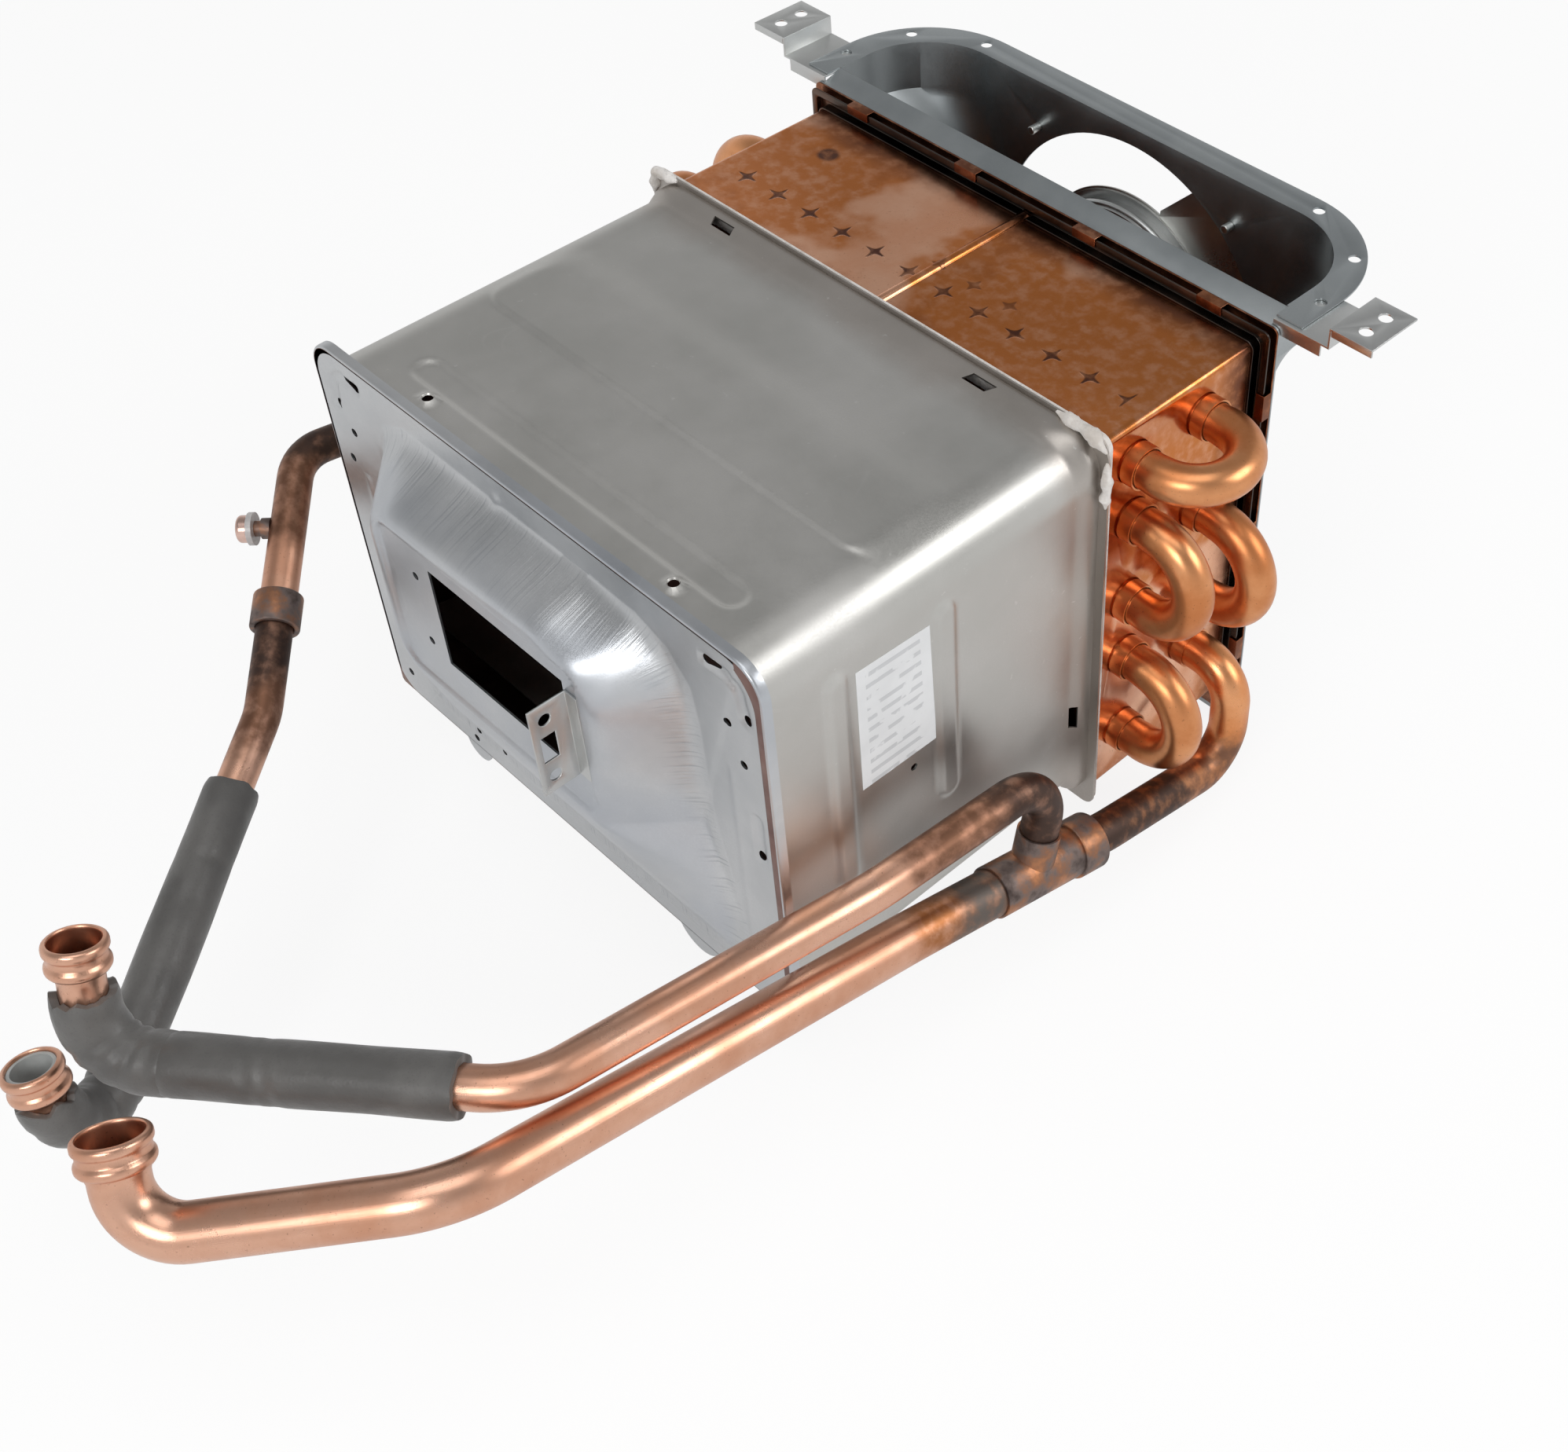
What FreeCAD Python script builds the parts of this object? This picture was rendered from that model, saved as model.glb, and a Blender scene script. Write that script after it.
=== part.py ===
import FreeCAD, Part
import Sketcher
import math
import os

# Water heater heat exchanger: a burner chamber of folded sheet, a copper finned block crossed by
# nine water tubes, and a flue hood, lying on its back. Millimetres, +Z up. X runs across the
# object, Y from the burner cover to the hood. The origin is the centre of the flue ring, in the
# plane of the hood's far wall, and X = 0 is the middle plane of the chamber.

doc = FreeCAD.newDocument("HeatExchanger")
sheet = doc.addObject("Spreadsheet::Sheet", "Sizes")
row = 0


def dim(alias, value):
    """One driving size, in the next row of the sheet."""
    global row
    row += 1
    sheet.set("A%d" % row, alias)
    sheet.set("B%d" % row, str(value))
    sheet.setAlias("B%d" % row, alias)


def dim_point(alias, x, y, z):
    """One driving point of a pipe route, as three sizes."""
    dim(alias + "_x", x)
    dim(alias + "_y", y)
    dim(alias + "_z", z)


# Sheet metal
dim("steel_thick", 0.8)
dim("copper_thick", 0.6)
dim("fold_gap", 0.1)

# Heights of the steps between the block, the chamber, the cover and the frame
dim("block_drop", 114.5)
dim("low_step", 12)
dim("high_step", 5)
dim("cover_rise", 3)
dim("cover_drop", 2)
dim("frame_rise", 8)
dim("frame_drop", 17)
dim("hood_drop", 3)
dim("rim_step", 3.5)

# Burner cover
dim("cover_border", 5)
dim("cover_corner", 13)
dim("cover_lip", 4)
dim("cover_foot", 6)
dim("foot_spread", 140)
dim("foot_small", 8)
dim("foot_large", 12)
dim("dome_depth", 25)
dim("dome_top_half", 88)
dim("dome_bottom_half", 100)
dim("dome_top_gap", 15)
dim("dome_bottom_gap", 10)
dim("dome_corner", 34)
dim("dome_low_corner", 14)
dim("panel_half", 61)
dim("panel_height", 77)
dim("panel_drop", 8)
dim("panel_corner", 20)
dim("panel_low_corner", 10)
dim("recess_half", 57)
dim("recess_height", 70)
dim("recess_depth", 1.2)
dim("recess_corner", 8)
dim("opening_width", 76)
dim("opening_height", 46)
dim("opening_shift", 11)
dim("opening_sill", 16)
dim("cover_hole", 3.6)
dim("hole_high_inset", 18.7)
dim("hole_high_drop", 34.9)
dim("hole_mid_inset", 12.5)
dim("hole_mid_drop", 50.5)
dim("hole_slot_inset", 10.4)
dim("hole_slot_drop", 26.5)
dim("relief_x", 55)
dim("relief_z", -31.5)
dim("relief_depth", 22)

# Bracket on the cover
dim("leaf_gap", 1)
dim("leaf_length", 16)
dim("leaf_height", 41)
dim("leaf_foot", 9)
dim("leaf_hole", 5)
dim("leaf_window", 8)
dim("leaf_hole_end", 7)
dim("leaf_hole_edge", 6)

# Combustion chamber
dim("chamber_width", 240)
dim("chamber_height", 176)
dim("chamber_length", 143.3)
dim("chamber_flare", 16)
dim("chamber_corner", 20)
dim("chamber_low_corner", 10)
dim("flare_side", 1)
dim("flare_rise", 1)
dim("flare_drop", 8.5)
dim("flare_corner", 12)
dim("rear_flange_drop", 5)
dim("rear_flange_corner", 6)
dim("rib_length", 178)
dim("rib_width", 11)
dim("rib_depth", 1.2)
dim("rib_shift", 4)
dim("rib_front_gap", 19.4)
dim("step_gap", 61)
dim("step_length", 211)
dim("step_width", 42)
dim("side_rib_front", 32.4)
dim("side_rib_rear", 82.4)
dim("side_rib_length", 106)
dim("side_rib_short", 96)
dim("side_rib_width", 8)
dim("side_rib_rise", 12)
dim("collar_hole", 5)
dim("collar_rise", 1.6)
dim("collar_gap", 8.9)
dim("collar_half", 68)
dim("window_length", 12)
dim("window_width", 5)
dim("window_half", 68.5)
dim("baffle_radius", 46)
dim("baffle_gap", 6)
dim("baffle_inset", 16)

# Finned copper block
dim("gasket_thick", 2)
dim("gasket_border", 1)
dim("gasket_lap", 4)
dim("block_inset", 1.5)
dim("block_length", 88)
dim("block_corner", 3)
dim("block_flange", 5)
dim("bead_radius", 2.4)
dim("bead_inset", 3)
dim("fin_count", 12)
dim("fin_thick", 0.4)
dim("fin_margin", 15)
dim("fin_front_gap", 4)
dim("fin_rear_gap", 10)
dim("fin_end_gap", 3.5)
dim("tube_outer", 16)
dim("tube_wall", 0.7)
dim("tube_stub", 6)
dim("tube_swell", 0.5)
dim("front_row_gap", 19)
dim("row_spacing", 38)
dim("front_tube_a", 50.5)
dim("front_tube_b", 23.5)
dim("front_tube_c", -17.5)
dim("front_tube_d", -47.5)
dim("front_tube_e", -89)
dim("rear_tube_a", 50.5)
dim("rear_tube_b", 5.5)
dim("rear_tube_c", -36.5)
dim("rear_tube_d", -67.5)
dim("bend_stub", 10)
dim("fold_tab", 12)
dim("fold_tab_lip", 4)
dim("tab_inner", 32.5)
dim("tab_outer", 96)
dim("tab_pitch", 64.5)

# Clamping frame
dim("frame_border", 7.5)
dim("frame_corner", 3)
dim("frame_edge", 1)
dim("frame_strip", 3)
dim("frame_step", 2.5)
dim("frame_lip", 5)
dim("frame_open", 22)

# Flue hood
dim("hood_length", 61)
dim("hood_border", 3.5)
dim("hood_corner", 36)
dim("neck_height", 22)
dim("taper_height", 30)
dim("foot_half", 84)
dim("low_corner", 20)
dim("rim_width", 12)
dim("rim_near_gap", 3)
dim("flue_hole", 72)
dim("lip_depth", 10)
dim("lip_dip", 0.5)
dim("rim_hole", 5)
dim("rim_hole_side", 41)
dim("rim_hole_turn", 36)
dim("rim_hole_far", 31)
dim("ring_outer", 45)
dim("ring_bore", 40)
dim("ring_depth", 9)
dim("screw_spread", 107)
dim("screw_height", 117)
dim("screw_radius", 1.9)
dim("screw_head", 4)
dim("screw_head_height", 2.5)
dim("screw_length", 6)

# Hood brackets
dim("bracket_reach", 13)
dim("bracket_width", 27)
dim("bracket_near_gap", 1)
dim("bracket_rise", 7.5)
dim("bracket_ear", 19)
dim("bracket_slot", 5.5)
dim("bracket_pitch", 11.5)
dim("bracket_slot_edge", 8.5)
dim("bracket_skirt", 5)

# Pipes
dim("main_outer", 19)
dim("branch_outer", 15)
dim("side_outer", 14)
dim("pipe_wall", 0.9)
dim("run_gap", 13)
dim("large_mouth", 24.6)
dim("small_mouth", 20.6)
dim("mouth_height", 14)
dim("mouth_cone", 2.5)
dim("mouth_bead", 3.5)
dim("mouth_lip", 4.2)
dim("mouth_groove", 0.9)
dim("mouth_thick", 2.2)
dim("mouth_round", 1.2)
dim("sleeve_wall", 3)
dim("sleeve_gap", 0.1)

# Main pipe route; X is measured from the run beside the cover, up to the bend towards the mouth
dim_point("main_low", 10.5, -172, -95)
dim_point("main_mid", 4, -272, -75.5)
dim_point("main_front", 0.5, -458, -32)
dim_point("main_turn", 71.8, -531.3, -46.5)
dim_point("main_tip", 56.5, -520.5, -16.4)
dim("main_bend_mid", 120)
dim("main_bend_front", 42)
dim("main_bend_turn", 18)

# Tee and branch
dim("tee_place", 40)
dim("tee_half", 20)
dim("tee_seat", 4)
dim("tee_wall", 1)
dim("branch_seat", 5)
dim("branch_rise", 49)
dim_point("tee_up", -0.02, 0.26, 0.96)
dim_point("branch_mid", 1, -282, -41)
dim_point("branch_front", -9.5, -422, -24.5)
dim_point("branch_turn", 15.3, -507.9, -33)
dim_point("branch_tip", 4.7, -496, 8.8)
dim("branch_bend_low", 17)
dim("branch_bend_mid", 120)
dim("branch_bend_front", 34)
dim("branch_bend_turn", 20)

# Outlet tube
dim("outlet_reach", 26.5)
dim("outlet_lean", 1.5)
dim("outlet_shift", 2)
dim("outlet_drop", 47)
dim("outlet_run", 22)
dim("outlet_bend", 17)
dim("outlet_bend_end", 60)
dim("collar_length", 12)
dim("collar_wall", 2)

# Side pipe on the left
dim("side_reach", 46)
dim_point("side_bend", -167.5, -310, -6.5)
dim_point("side_low", -88, -385.5, -42.5)
dim_point("side_turn", 10.7, -526.7, -82.5)
dim_point("side_tip", -2, -523.3, -38.5)
dim("side_joint_run", 73)
dim("side_bend_block", 20)
dim("side_bend_front", 22)
dim("side_bend_low", 40)
dim("side_bend_turn", 20)
dim("joint_back", 8)
dim("joint_ahead", 6)
dim("joint_wall", 2.4)
dim("liner_inset", 1)
dim("liner_length", 9)
dim("liner_wall", 1.2)
dim("stub_run", 34)
dim("stub_radius", 3.1)
dim("stub_reach", 8)
dim("stub_base", 4.2)
dim("stub_base_height", 3)
dim("cap_radius", 5.5)
dim("cap_height", 4.4)
dim("cap_round", 1.6)
dim("clip_radius", 6.6)
dim("clip_height", 2.2)

# Foam sleeves, each from a distance after one bend to a distance before the next
dim("branch_sleeve_back", 20)
dim("branch_sleeve_ahead", 27)
dim("branch_wrap_ahead", 24)
dim("side_sleeve_back", 32)
dim("side_sleeve_ahead", 35)
dim("side_wrap_ahead", 31)
dim("wrap_lap", 0.5)
doc.recompute()


class Size(float):
    """A number that keeps its formula over the sheet's cells."""

    def __new__(cls, number, formula):
        made = super().__new__(cls, number)
        made.formula = formula
        return made

    def __add__(self, other):
        return Size(float(self) + other, "(%s + %s)" % (self.formula, formula(other)))

    def __sub__(self, other):
        return Size(float(self) - other, "(%s - %s)" % (self.formula, formula(other)))

    def __mul__(self, other):
        return Size(float(self) * other, "(%s * %s)" % (self.formula, formula(other)))

    def __truediv__(self, other):
        return Size(float(self) / other, "(%s / %s)" % (self.formula, formula(other)))

    def __radd__(self, other):
        return Size(float(self) + other, "(%s + %s)" % (formula(other), self.formula))

    def __rsub__(self, other):
        return Size(other - float(self), "(%s - %s)" % (formula(other), self.formula))

    def __rmul__(self, other):
        return Size(float(self) * other, "(%s * %s)" % (formula(other), self.formula))

    def __neg__(self):
        return Size(-float(self), "(0 - %s)" % self.formula)


def formula(value):
    """Formula of a size, or the text of a plain number."""
    return value.formula if isinstance(value, Size) else "(%r)" % float(value)


def size(alias):
    return Size(float(sheet.get(alias)), "Sizes." + alias)


def spread(a, b):
    """Distance between two places, each given by two sizes."""
    text = "sqrt((%s - %s)^2 + (%s - %s)^2)"
    made = [formula(value) for value in (a[0], b[0], a[1], b[1])]
    return Size(math.hypot(a[0] - b[0], a[1] - b[1]), text % tuple(made))


def V(x, y, z):
    return FreeCAD.Vector(x, y, z)


def point(alias):
    """A driving point of the sheet."""
    return V(size(alias + "_x"), size(alias + "_y"), size(alias + "_z"))


X_AXIS = V(1, 0, 0)
Y_AXIS = V(0, 1, 0)
Z_AXIS = V(0, 0, 1)

steel = size("steel_thick")
copper = size("copper_thick")
gap = size("fold_gap")

# Planes along Y, from the hood's far wall (Y = 0) back to the cover
hood_face = -size("hood_length")
frame_face = hood_face - gap
block_back = frame_face
block_front = block_back - size("block_length")
gasket_front = block_front - size("gasket_thick")
flare_front = gasket_front - size("chamber_flare")
chamber_front = flare_front - size("chamber_length")
cover_face = chamber_front - 2 * steel
panel_plane = cover_face - size("dome_depth")

# Heights
block_bottom = -size("block_drop")
chamber_bottom = block_bottom + size("low_step")
chamber_top = chamber_bottom + size("chamber_height")
block_top = chamber_top - size("high_step")
cover_bottom = chamber_bottom - size("cover_drop")
cover_top = chamber_top + size("cover_rise")
frame_bottom = block_bottom - size("frame_drop")
frame_top = block_top + size("frame_rise")
hood_bottom = frame_bottom - size("hood_drop")
rim_top = frame_top + size("rim_step")

# Half widths
chamber_half = size("chamber_width") / 2
cover_half = chamber_half + size("cover_border")
block_half = chamber_half - size("block_inset")
frame_half = block_half + size("frame_border")
hood_half = block_half + size("hood_border")
rim_half = hood_half + size("rim_width")

parts = []


def keep(piece):
    """Lists a sub-part for the checks and the files."""
    if piece.TypeId in ("Part::Cut", "Part::Fuse"):
        piece.Refine = True
    parts.append(piece)
    return piece


def bind(piece, path, value):
    piece.setExpression(path, formula(value))


# Sketches, each size of which is bound to the sheet


def body(label):
    made = doc.addObject("PartDesign::Body", label)
    made.AllowCompound = True
    return made


def sketch_on(owner, plane, place, name):
    """Sketch parallel to an origin plane of the body, at this place along that plane's axis."""
    made = owner.newObject("Sketcher::SketchObject", name)
    planes = [o for o in owner.Origin.OriginFeatures if o.Role == plane]
    made.AttachmentSupport = [(planes[0], "")]
    made.MapMode = "FlatFace"
    bind(made, "AttachmentOffset.Base.z", -1 * place if plane == "XZ_Plane" else place)
    return made


def fix(sketch, kind, *where):
    """Constraint whose last entry is a size."""
    index = sketch.addConstraint(Sketcher.Constraint(kind, *where[:-1], float(where[-1])))
    bind(sketch, "Constraints[%d]" % index, where[-1])


def fix_place(sketch, index, end, x, y):
    fix(sketch, "DistanceX", -1, 1, index, end, x)
    fix(sketch, "DistanceY", -1, 1, index, end, y)


def draw_circle(sketch, x, y, radius):
    index = sketch.addGeometry(Part.Circle(V(x, y, 0), Z_AXIS, float(radius)))
    fix_place(sketch, index, 3, x, y)
    fix(sketch, "Radius", index, radius)


def draw_polygon(sketch, points):
    first = sketch.GeometryCount
    count = len(points)
    for i in range(count):
        start = V(*points[i], 0)
        end = V(*points[(i + 1) % count], 0)
        sketch.addGeometry(Part.LineSegment(start, end))
    for i in range(count):
        after = first + (i + 1) % count
        sketch.addConstraint(Sketcher.Constraint("Coincident", first + i, 2, after, 1))
        fix_place(sketch, first + i, 1, *points[i])


def draw_box(sketch, left, bottom, right, top):
    draw_polygon(sketch, [(left, bottom), (right, bottom), (right, top), (left, top)])


def corner_arcs(points, radii):
    """Start, middle and end of the arc that rounds each corner of a closed outline."""
    arcs = []
    count = len(points)
    for i in range(count):
        here = V(*points[i], 0)
        u = (V(*points[i - 1], 0) - here).normalize()
        w = (V(*points[(i + 1) % count], 0) - here).normalize()
        half = u.getAngle(w) / 2
        reach = radii[i] / math.tan(half)
        middle = here + (u + w).normalize() * (radii[i] / math.sin(half) - radii[i])
        arcs.append((here + u * reach, middle, here + w * reach))
    return arcs


def draw_rounded(sketch, points, radii):
    """Closed outline, each corner rounded; the sharp corners carry the sizes."""
    first = sketch.GeometryCount
    count = len(points)
    arcs = corner_arcs(points, radii)
    for i in range(count):
        sketch.addGeometry(Part.Arc(*arcs[i]))
        sketch.addGeometry(Part.LineSegment(arcs[i][2], arcs[(i + 1) % count][0]))
    for i in range(2 * count):
        after = first + (i + 1) % (2 * count)
        sketch.addConstraint(Sketcher.Constraint("Tangent", first + i, 2, after, 1))
    for i in range(count):
        fix(sketch, "Radius", first + 2 * i, radii[i])
        corner = sketch.addGeometry(Part.Point(V(*points[i], 0)), True)
        fix_place(sketch, corner, 1, *points[i])
        for line in (first + 2 * i + 1, first + (2 * i - 1) % (2 * count)):
            sketch.addConstraint(Sketcher.Constraint("PointOnObject", corner, 1, line))


def draw_frame(sketch, half, bottom, top, high, low):
    """Rounded rectangle, symmetric about the middle plane; high and low are its corner radii."""
    draw_rounded(sketch, [(-half, bottom), (half, bottom), (half, top), (-half, top)],
                 [low, low, high, high])


def draw_slot(sketch, x, y, length, width, along):
    """Straight slot whose length runs along (1, 0) or (0, 1)."""
    r = width / 2
    a = length / 2 - r
    ux, uy = along
    ends = ((x + ux * a, y + uy * a), (x - ux * a, y - uy * a))
    start = math.atan2(uy, ux) - math.pi / 2
    for i in range(2):
        circle = Part.Circle(V(*ends[i], 0), Z_AXIS, float(r))
        first = start + i * math.pi
        index = sketch.addGeometry(Part.ArcOfCircle(circle, first, first + math.pi))
        fix_place(sketch, index, 3, *ends[i])
        fix(sketch, "Radius", index, r)
    side = V(-uy * r, ux * r, 0)
    sketch.addGeometry(Part.LineSegment(V(*ends[0], 0) + side, V(*ends[1], 0) + side))
    sketch.addGeometry(Part.LineSegment(V(*ends[1], 0) - side, V(*ends[0], 0) - side))
    for one, other in ((0, 2), (2, 1), (1, 3), (3, 0)):
        sketch.addConstraint(Sketcher.Constraint("Tangent", one, 2, other, 1))


# Features, which all run towards the plus side of their plane's axis


def feature(kind, sketch, length, name):
    made = sketch.getParentGeoFeatureGroup().newObject("PartDesign::" + kind, name)
    made.Profile = sketch
    bind(made, "Length", length)
    crossed = sketch.AttachmentSupport[0][0].Role == "XZ_Plane"
    made.Reversed = crossed if kind == "Pad" else not crossed
    return made


def pad(sketch, length, name):
    return feature("Pad", sketch, length, name)


def pocket(sketch, length, name):
    return feature("Pocket", sketch, length, name)


def lofted(sketches, name):
    """Straight-sided loft through the sketches."""
    made = sketches[0].getParentGeoFeatureGroup().newObject("PartDesign::AdditiveLoft", name)
    made.Profile = sketches[0]
    made.Sections = sketches[1:]
    made.Ruled = True
    return made


def revolved(sketch, axis, name):
    made = sketch.getParentGeoFeatureGroup().newObject("PartDesign::Revolution", name)
    made.Profile = sketch
    made.ReferenceAxis = (sketch, [axis])
    made.Angle = 360
    return made


# Primitives and booleans


def facing(axis):
    """Turn that points a primitive's Z along the axis."""
    frame = Part.Circle(V(0, 0, 0), axis, 1)
    return FreeCAD.Rotation(frame.XAxis, frame.YAxis, frame.Axis, "ZXY")


def box(name, length, width, height, corner):
    """Block from its lowest corner."""
    made = doc.addObject("Part::Box", name)
    bind(made, "Length", length)
    bind(made, "Width", width)
    bind(made, "Height", height)
    for axis, value in zip("xyz", corner):
        bind(made, "Placement.Base." + axis, value)
    return made


def cylinder(name, radius, length, start, axis):
    made = doc.addObject("Part::Cylinder", name)
    bind(made, "Radius", radius)
    bind(made, "Height", length)
    made.Placement = FreeCAD.Placement(start, facing(axis))
    return made


def chain(kind, label, base, others):
    """One boolean step after the other; the last carries the label."""
    made = base
    for i in range(len(others)):
        last = i == len(others) - 1
        step = doc.addObject(kind, label if last else "%s_step_%d" % (label, i + 1))
        step.Base = made
        step.Tool = others[i]
        made = step
    return made


def cut(label, base, *tools):
    return chain("Part::Cut", label, base, tools)


def fuse(label, base, *pieces):
    return chain("Part::Fuse", label, base, pieces)


def tube(label, outer_r, inner_r, length, start, axis):
    """Plain straight tube."""
    outside = cylinder(label + "_outside", outer_r, length, start, axis)
    bore = cylinder(label + "_bore", inner_r, length + 2, start - axis, axis)
    return cut(label, outside, bore)


# Pipes: round sections swept along straight runs joined by tangent arcs


def route(name, points, radii):
    """Path of a pipe through its points, each bend with its own radius."""
    edges = []
    start = points[0]
    for i in range(1, len(points) - 1):
        u = (points[i - 1] - points[i]).normalize()
        w = (points[i + 1] - points[i]).normalize()
        half = u.getAngle(w) / 2
        r = radii[i - 1]
        reach = r / math.tan(half)
        middle = points[i] + (u + w).normalize() * (r / math.sin(half) - r)
        enter = points[i] + u * reach
        leave = points[i] + w * reach
        if (enter - start).Length > 0.01:
            edges.append(Part.LineSegment(start, enter).toShape())
        edges.append(Part.Arc(enter, middle, leave).toShape())
        start = leave
    edges.append(Part.LineSegment(start, points[-1]).toShape())
    made = doc.addObject("Part::Feature", name)
    made.Shape = Part.Wire(edges)
    return made


def swept(name, path, radius):
    """Round rod along a path."""
    first = path.Shape.Edges[0]
    start = first.valueAt(first.FirstParameter)
    along = first.tangentAt(first.FirstParameter)
    ring = doc.addObject("Part::Circle", name + "_ring")
    bind(ring, "Radius", radius)
    ring.Placement = FreeCAD.Placement(start, FreeCAD.Rotation(X_AXIS, Y_AXIS, along, "ZXY"))
    made = doc.addObject("Part::Sweep", name)
    made.Sections = [ring]
    made.Spine = (path, ["Edge%d" % (i + 1) for i in range(len(path.Shape.Edges))])
    made.Transition = "Transformed"
    made.Solid = True
    return made


def pipe(label, points, radii, outer_r, inner_r):
    path = route(label + "_route", points, radii)
    return cut(label, swept(label + "_outside", path, outer_r),
               swept(label + "_bore", path, inner_r))


# Burner cover: a flat plate with a folded lip, and a dome pressed out of it
panel_top = cover_top - size("dome_top_gap") - size("panel_drop")
panel_base = panel_top - size("panel_height")
opening_bottom = panel_base + size("opening_sill")
opening_left = size("opening_shift") - size("opening_width") / 2
cover_hole_r = size("cover_hole") / 2


def dome(label, depth_plane, foot_plane, shrink, recess_grow):
    """Dome between its foot and the flat panel, drawn in by shrink, with the panel's recess."""
    made = body(label)
    top_half = size("dome_top_half") - shrink
    low_half = size("dome_bottom_half") - shrink
    top = cover_top - size("dome_top_gap") - shrink
    bottom = cover_bottom + size("dome_bottom_gap") + shrink
    foot = sketch_on(made, "XZ_Plane", foot_plane, label + "_foot")
    low = size("dome_low_corner")
    high = size("dome_corner")
    draw_rounded(foot, [(-low_half, bottom), (low_half, bottom), (top_half, top), (-top_half, top)],
                 [low, low, high, high])
    panel = sketch_on(made, "XZ_Plane", depth_plane, label + "_panel")
    draw_frame(panel, size("panel_half") - shrink, panel_base + shrink, panel_top - shrink,
               size("panel_corner"), size("panel_low_corner"))
    lofted([foot, panel], label + "_slopes")
    front = depth_plane - 1
    recess = sketch_on(made, "XZ_Plane", front, label + "_recess")
    corner = size("recess_corner") + recess_grow
    draw_frame(recess, size("recess_half") + recess_grow, panel_base - recess_grow,
               panel_base + size("recess_height") + recess_grow, corner, corner)
    pocket(recess, panel_plane + size("recess_depth") + recess_grow - front, label + "_recess_cut")
    return made


def relief_side(slope_x, slope_z, lift):
    """Everything in front of one slanted face of the relief at the dome's lower right."""
    corners = []
    for dx, dz in ((-60, -120), (90, -120), (90, 120), (-60, 120)):
        depth = size("relief_depth") + slope_x * dx + slope_z * dz
        corners.append(V(size("relief_x") + dx, cover_face - depth + lift,
                         size("relief_z") + dz))
    corners.append(corners[0])
    return Part.Face(Part.makePolygon(corners)).extrude(V(0, -200, 0))


def relief(name, lift):
    """Wedge between the relief's two slanted faces."""
    made = doc.addObject("Part::Feature", name)
    made.Shape = relief_side(-0.82, 0.257, lift).common(relief_side(-0.695, -0.263, lift))
    return made


plate = body("cover_plate")
edge = sketch_on(plate, "XZ_Plane", cover_face, "cover_edge")
draw_frame(edge, cover_half, cover_bottom, cover_top, size("cover_corner"), 2)
pad(edge, size("cover_lip"), "cover_sheet")
hollow = sketch_on(plate, "XZ_Plane", cover_face + steel, "cover_hollow")
draw_frame(hollow, cover_half - steel, cover_bottom + steel, cover_top - steel,
           size("cover_corner") - steel, 1.2)
pocket(hollow, size("cover_lip"), "cover_lip_cut")
feet = body("cover_feet")
foot = sketch_on(feet, "XZ_Plane", cover_face, "cover_foot_edges")
for side, r in ((-1, size("foot_small")), (1, size("foot_large"))):
    draw_circle(foot, side * size("foot_spread") / 2, cover_bottom + r - size("cover_foot"), r)
pad(foot, steel, "cover_foot_sheets")
outside = cut("dome_outside", dome("dome_out", panel_plane, cover_face, 0, 0),
              relief("relief_out", 0))
inside = cut("dome_inside",
             dome("dome_in", panel_plane + steel, cover_face + steel, 0.75 * steel, steel),
             relief("relief_in", 1.35 * steel))
holes = body("cover_holes")
hole_plan = sketch_on(holes, "XZ_Plane", cover_face - 1, "cover_hole_plan")
for side in (-1, 1):
    for name in ("hole_high", "hole_mid", "hole_slot"):
        draw_circle(hole_plan, side * (cover_half - size(name + "_inset")),
                    cover_top - size(name + "_drop"), cover_hole_r)
pad(hole_plan, 3, "cover_hole_pins")
panel_plan = sketch_on(holes, "XZ_Plane", panel_plane - 1, "panel_hole_plan")
for rise in (5, 37):
    draw_circle(panel_plan, opening_left - 10, opening_bottom + rise, cover_hole_r)
pad(panel_plan, 5, "panel_hole_pins")
opening = sketch_on(holes, "XZ_Plane", panel_plane - 5, "opening_plan")
draw_box(opening, opening_left, opening_bottom, opening_left + size("opening_width"),
         opening_bottom + size("opening_height"))
pad(opening, 20, "opening_block")
pressing = cut("cover_pressing", fuse("cover_sheet_and_dome", plate, outside), inside)
keep(cut("burner_cover", fuse("cover_on_feet", pressing, feet), holes))

# Bracket on the cover: an angle with one leaf standing out beside the opening
leaf_x = size("opening_shift") + size("opening_width") / 2 + size("leaf_gap")
leaf_base = opening_bottom + 2
leaf_face = panel_plane + size("recess_depth")
leaf_tip = leaf_face - size("leaf_length")
leaf_height = size("leaf_height")
leaf_room = size("recess_half") - leaf_x - gap
foot_end = leaf_x + Size(min(size("leaf_foot"), leaf_room),
                         "min(Sizes.leaf_foot; %s)" % leaf_room.formula)
angle = keep(body("cover_bracket"))
profile = sketch_on(angle, "XY_Plane", leaf_base, "angle_profile")
draw_polygon(profile, [(leaf_x, leaf_tip), (leaf_x + steel, leaf_tip),
                       (leaf_x + steel, leaf_face - steel), (foot_end, leaf_face - steel),
                       (foot_end, leaf_face), (leaf_x, leaf_face)])
pad(profile, leaf_height, "angle_leaf")
window = size("leaf_window")
middle = leaf_tip + size("leaf_hole_edge")
leaf_holes = sketch_on(angle, "YZ_Plane", leaf_x - 1, "leaf_hole_plan")
for rise in (size("leaf_hole_end"), leaf_height - size("leaf_hole_end")):
    draw_circle(leaf_holes, middle, leaf_base + rise, size("leaf_hole") / 2)
draw_box(leaf_holes, middle - 0.4 * window, leaf_base + leaf_height / 2 - 0.75 * window,
         middle + 0.4 * window, leaf_base + leaf_height / 2 + 0.75 * window)
pocket(leaf_holes, 4, "leaf_holes")

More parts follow.
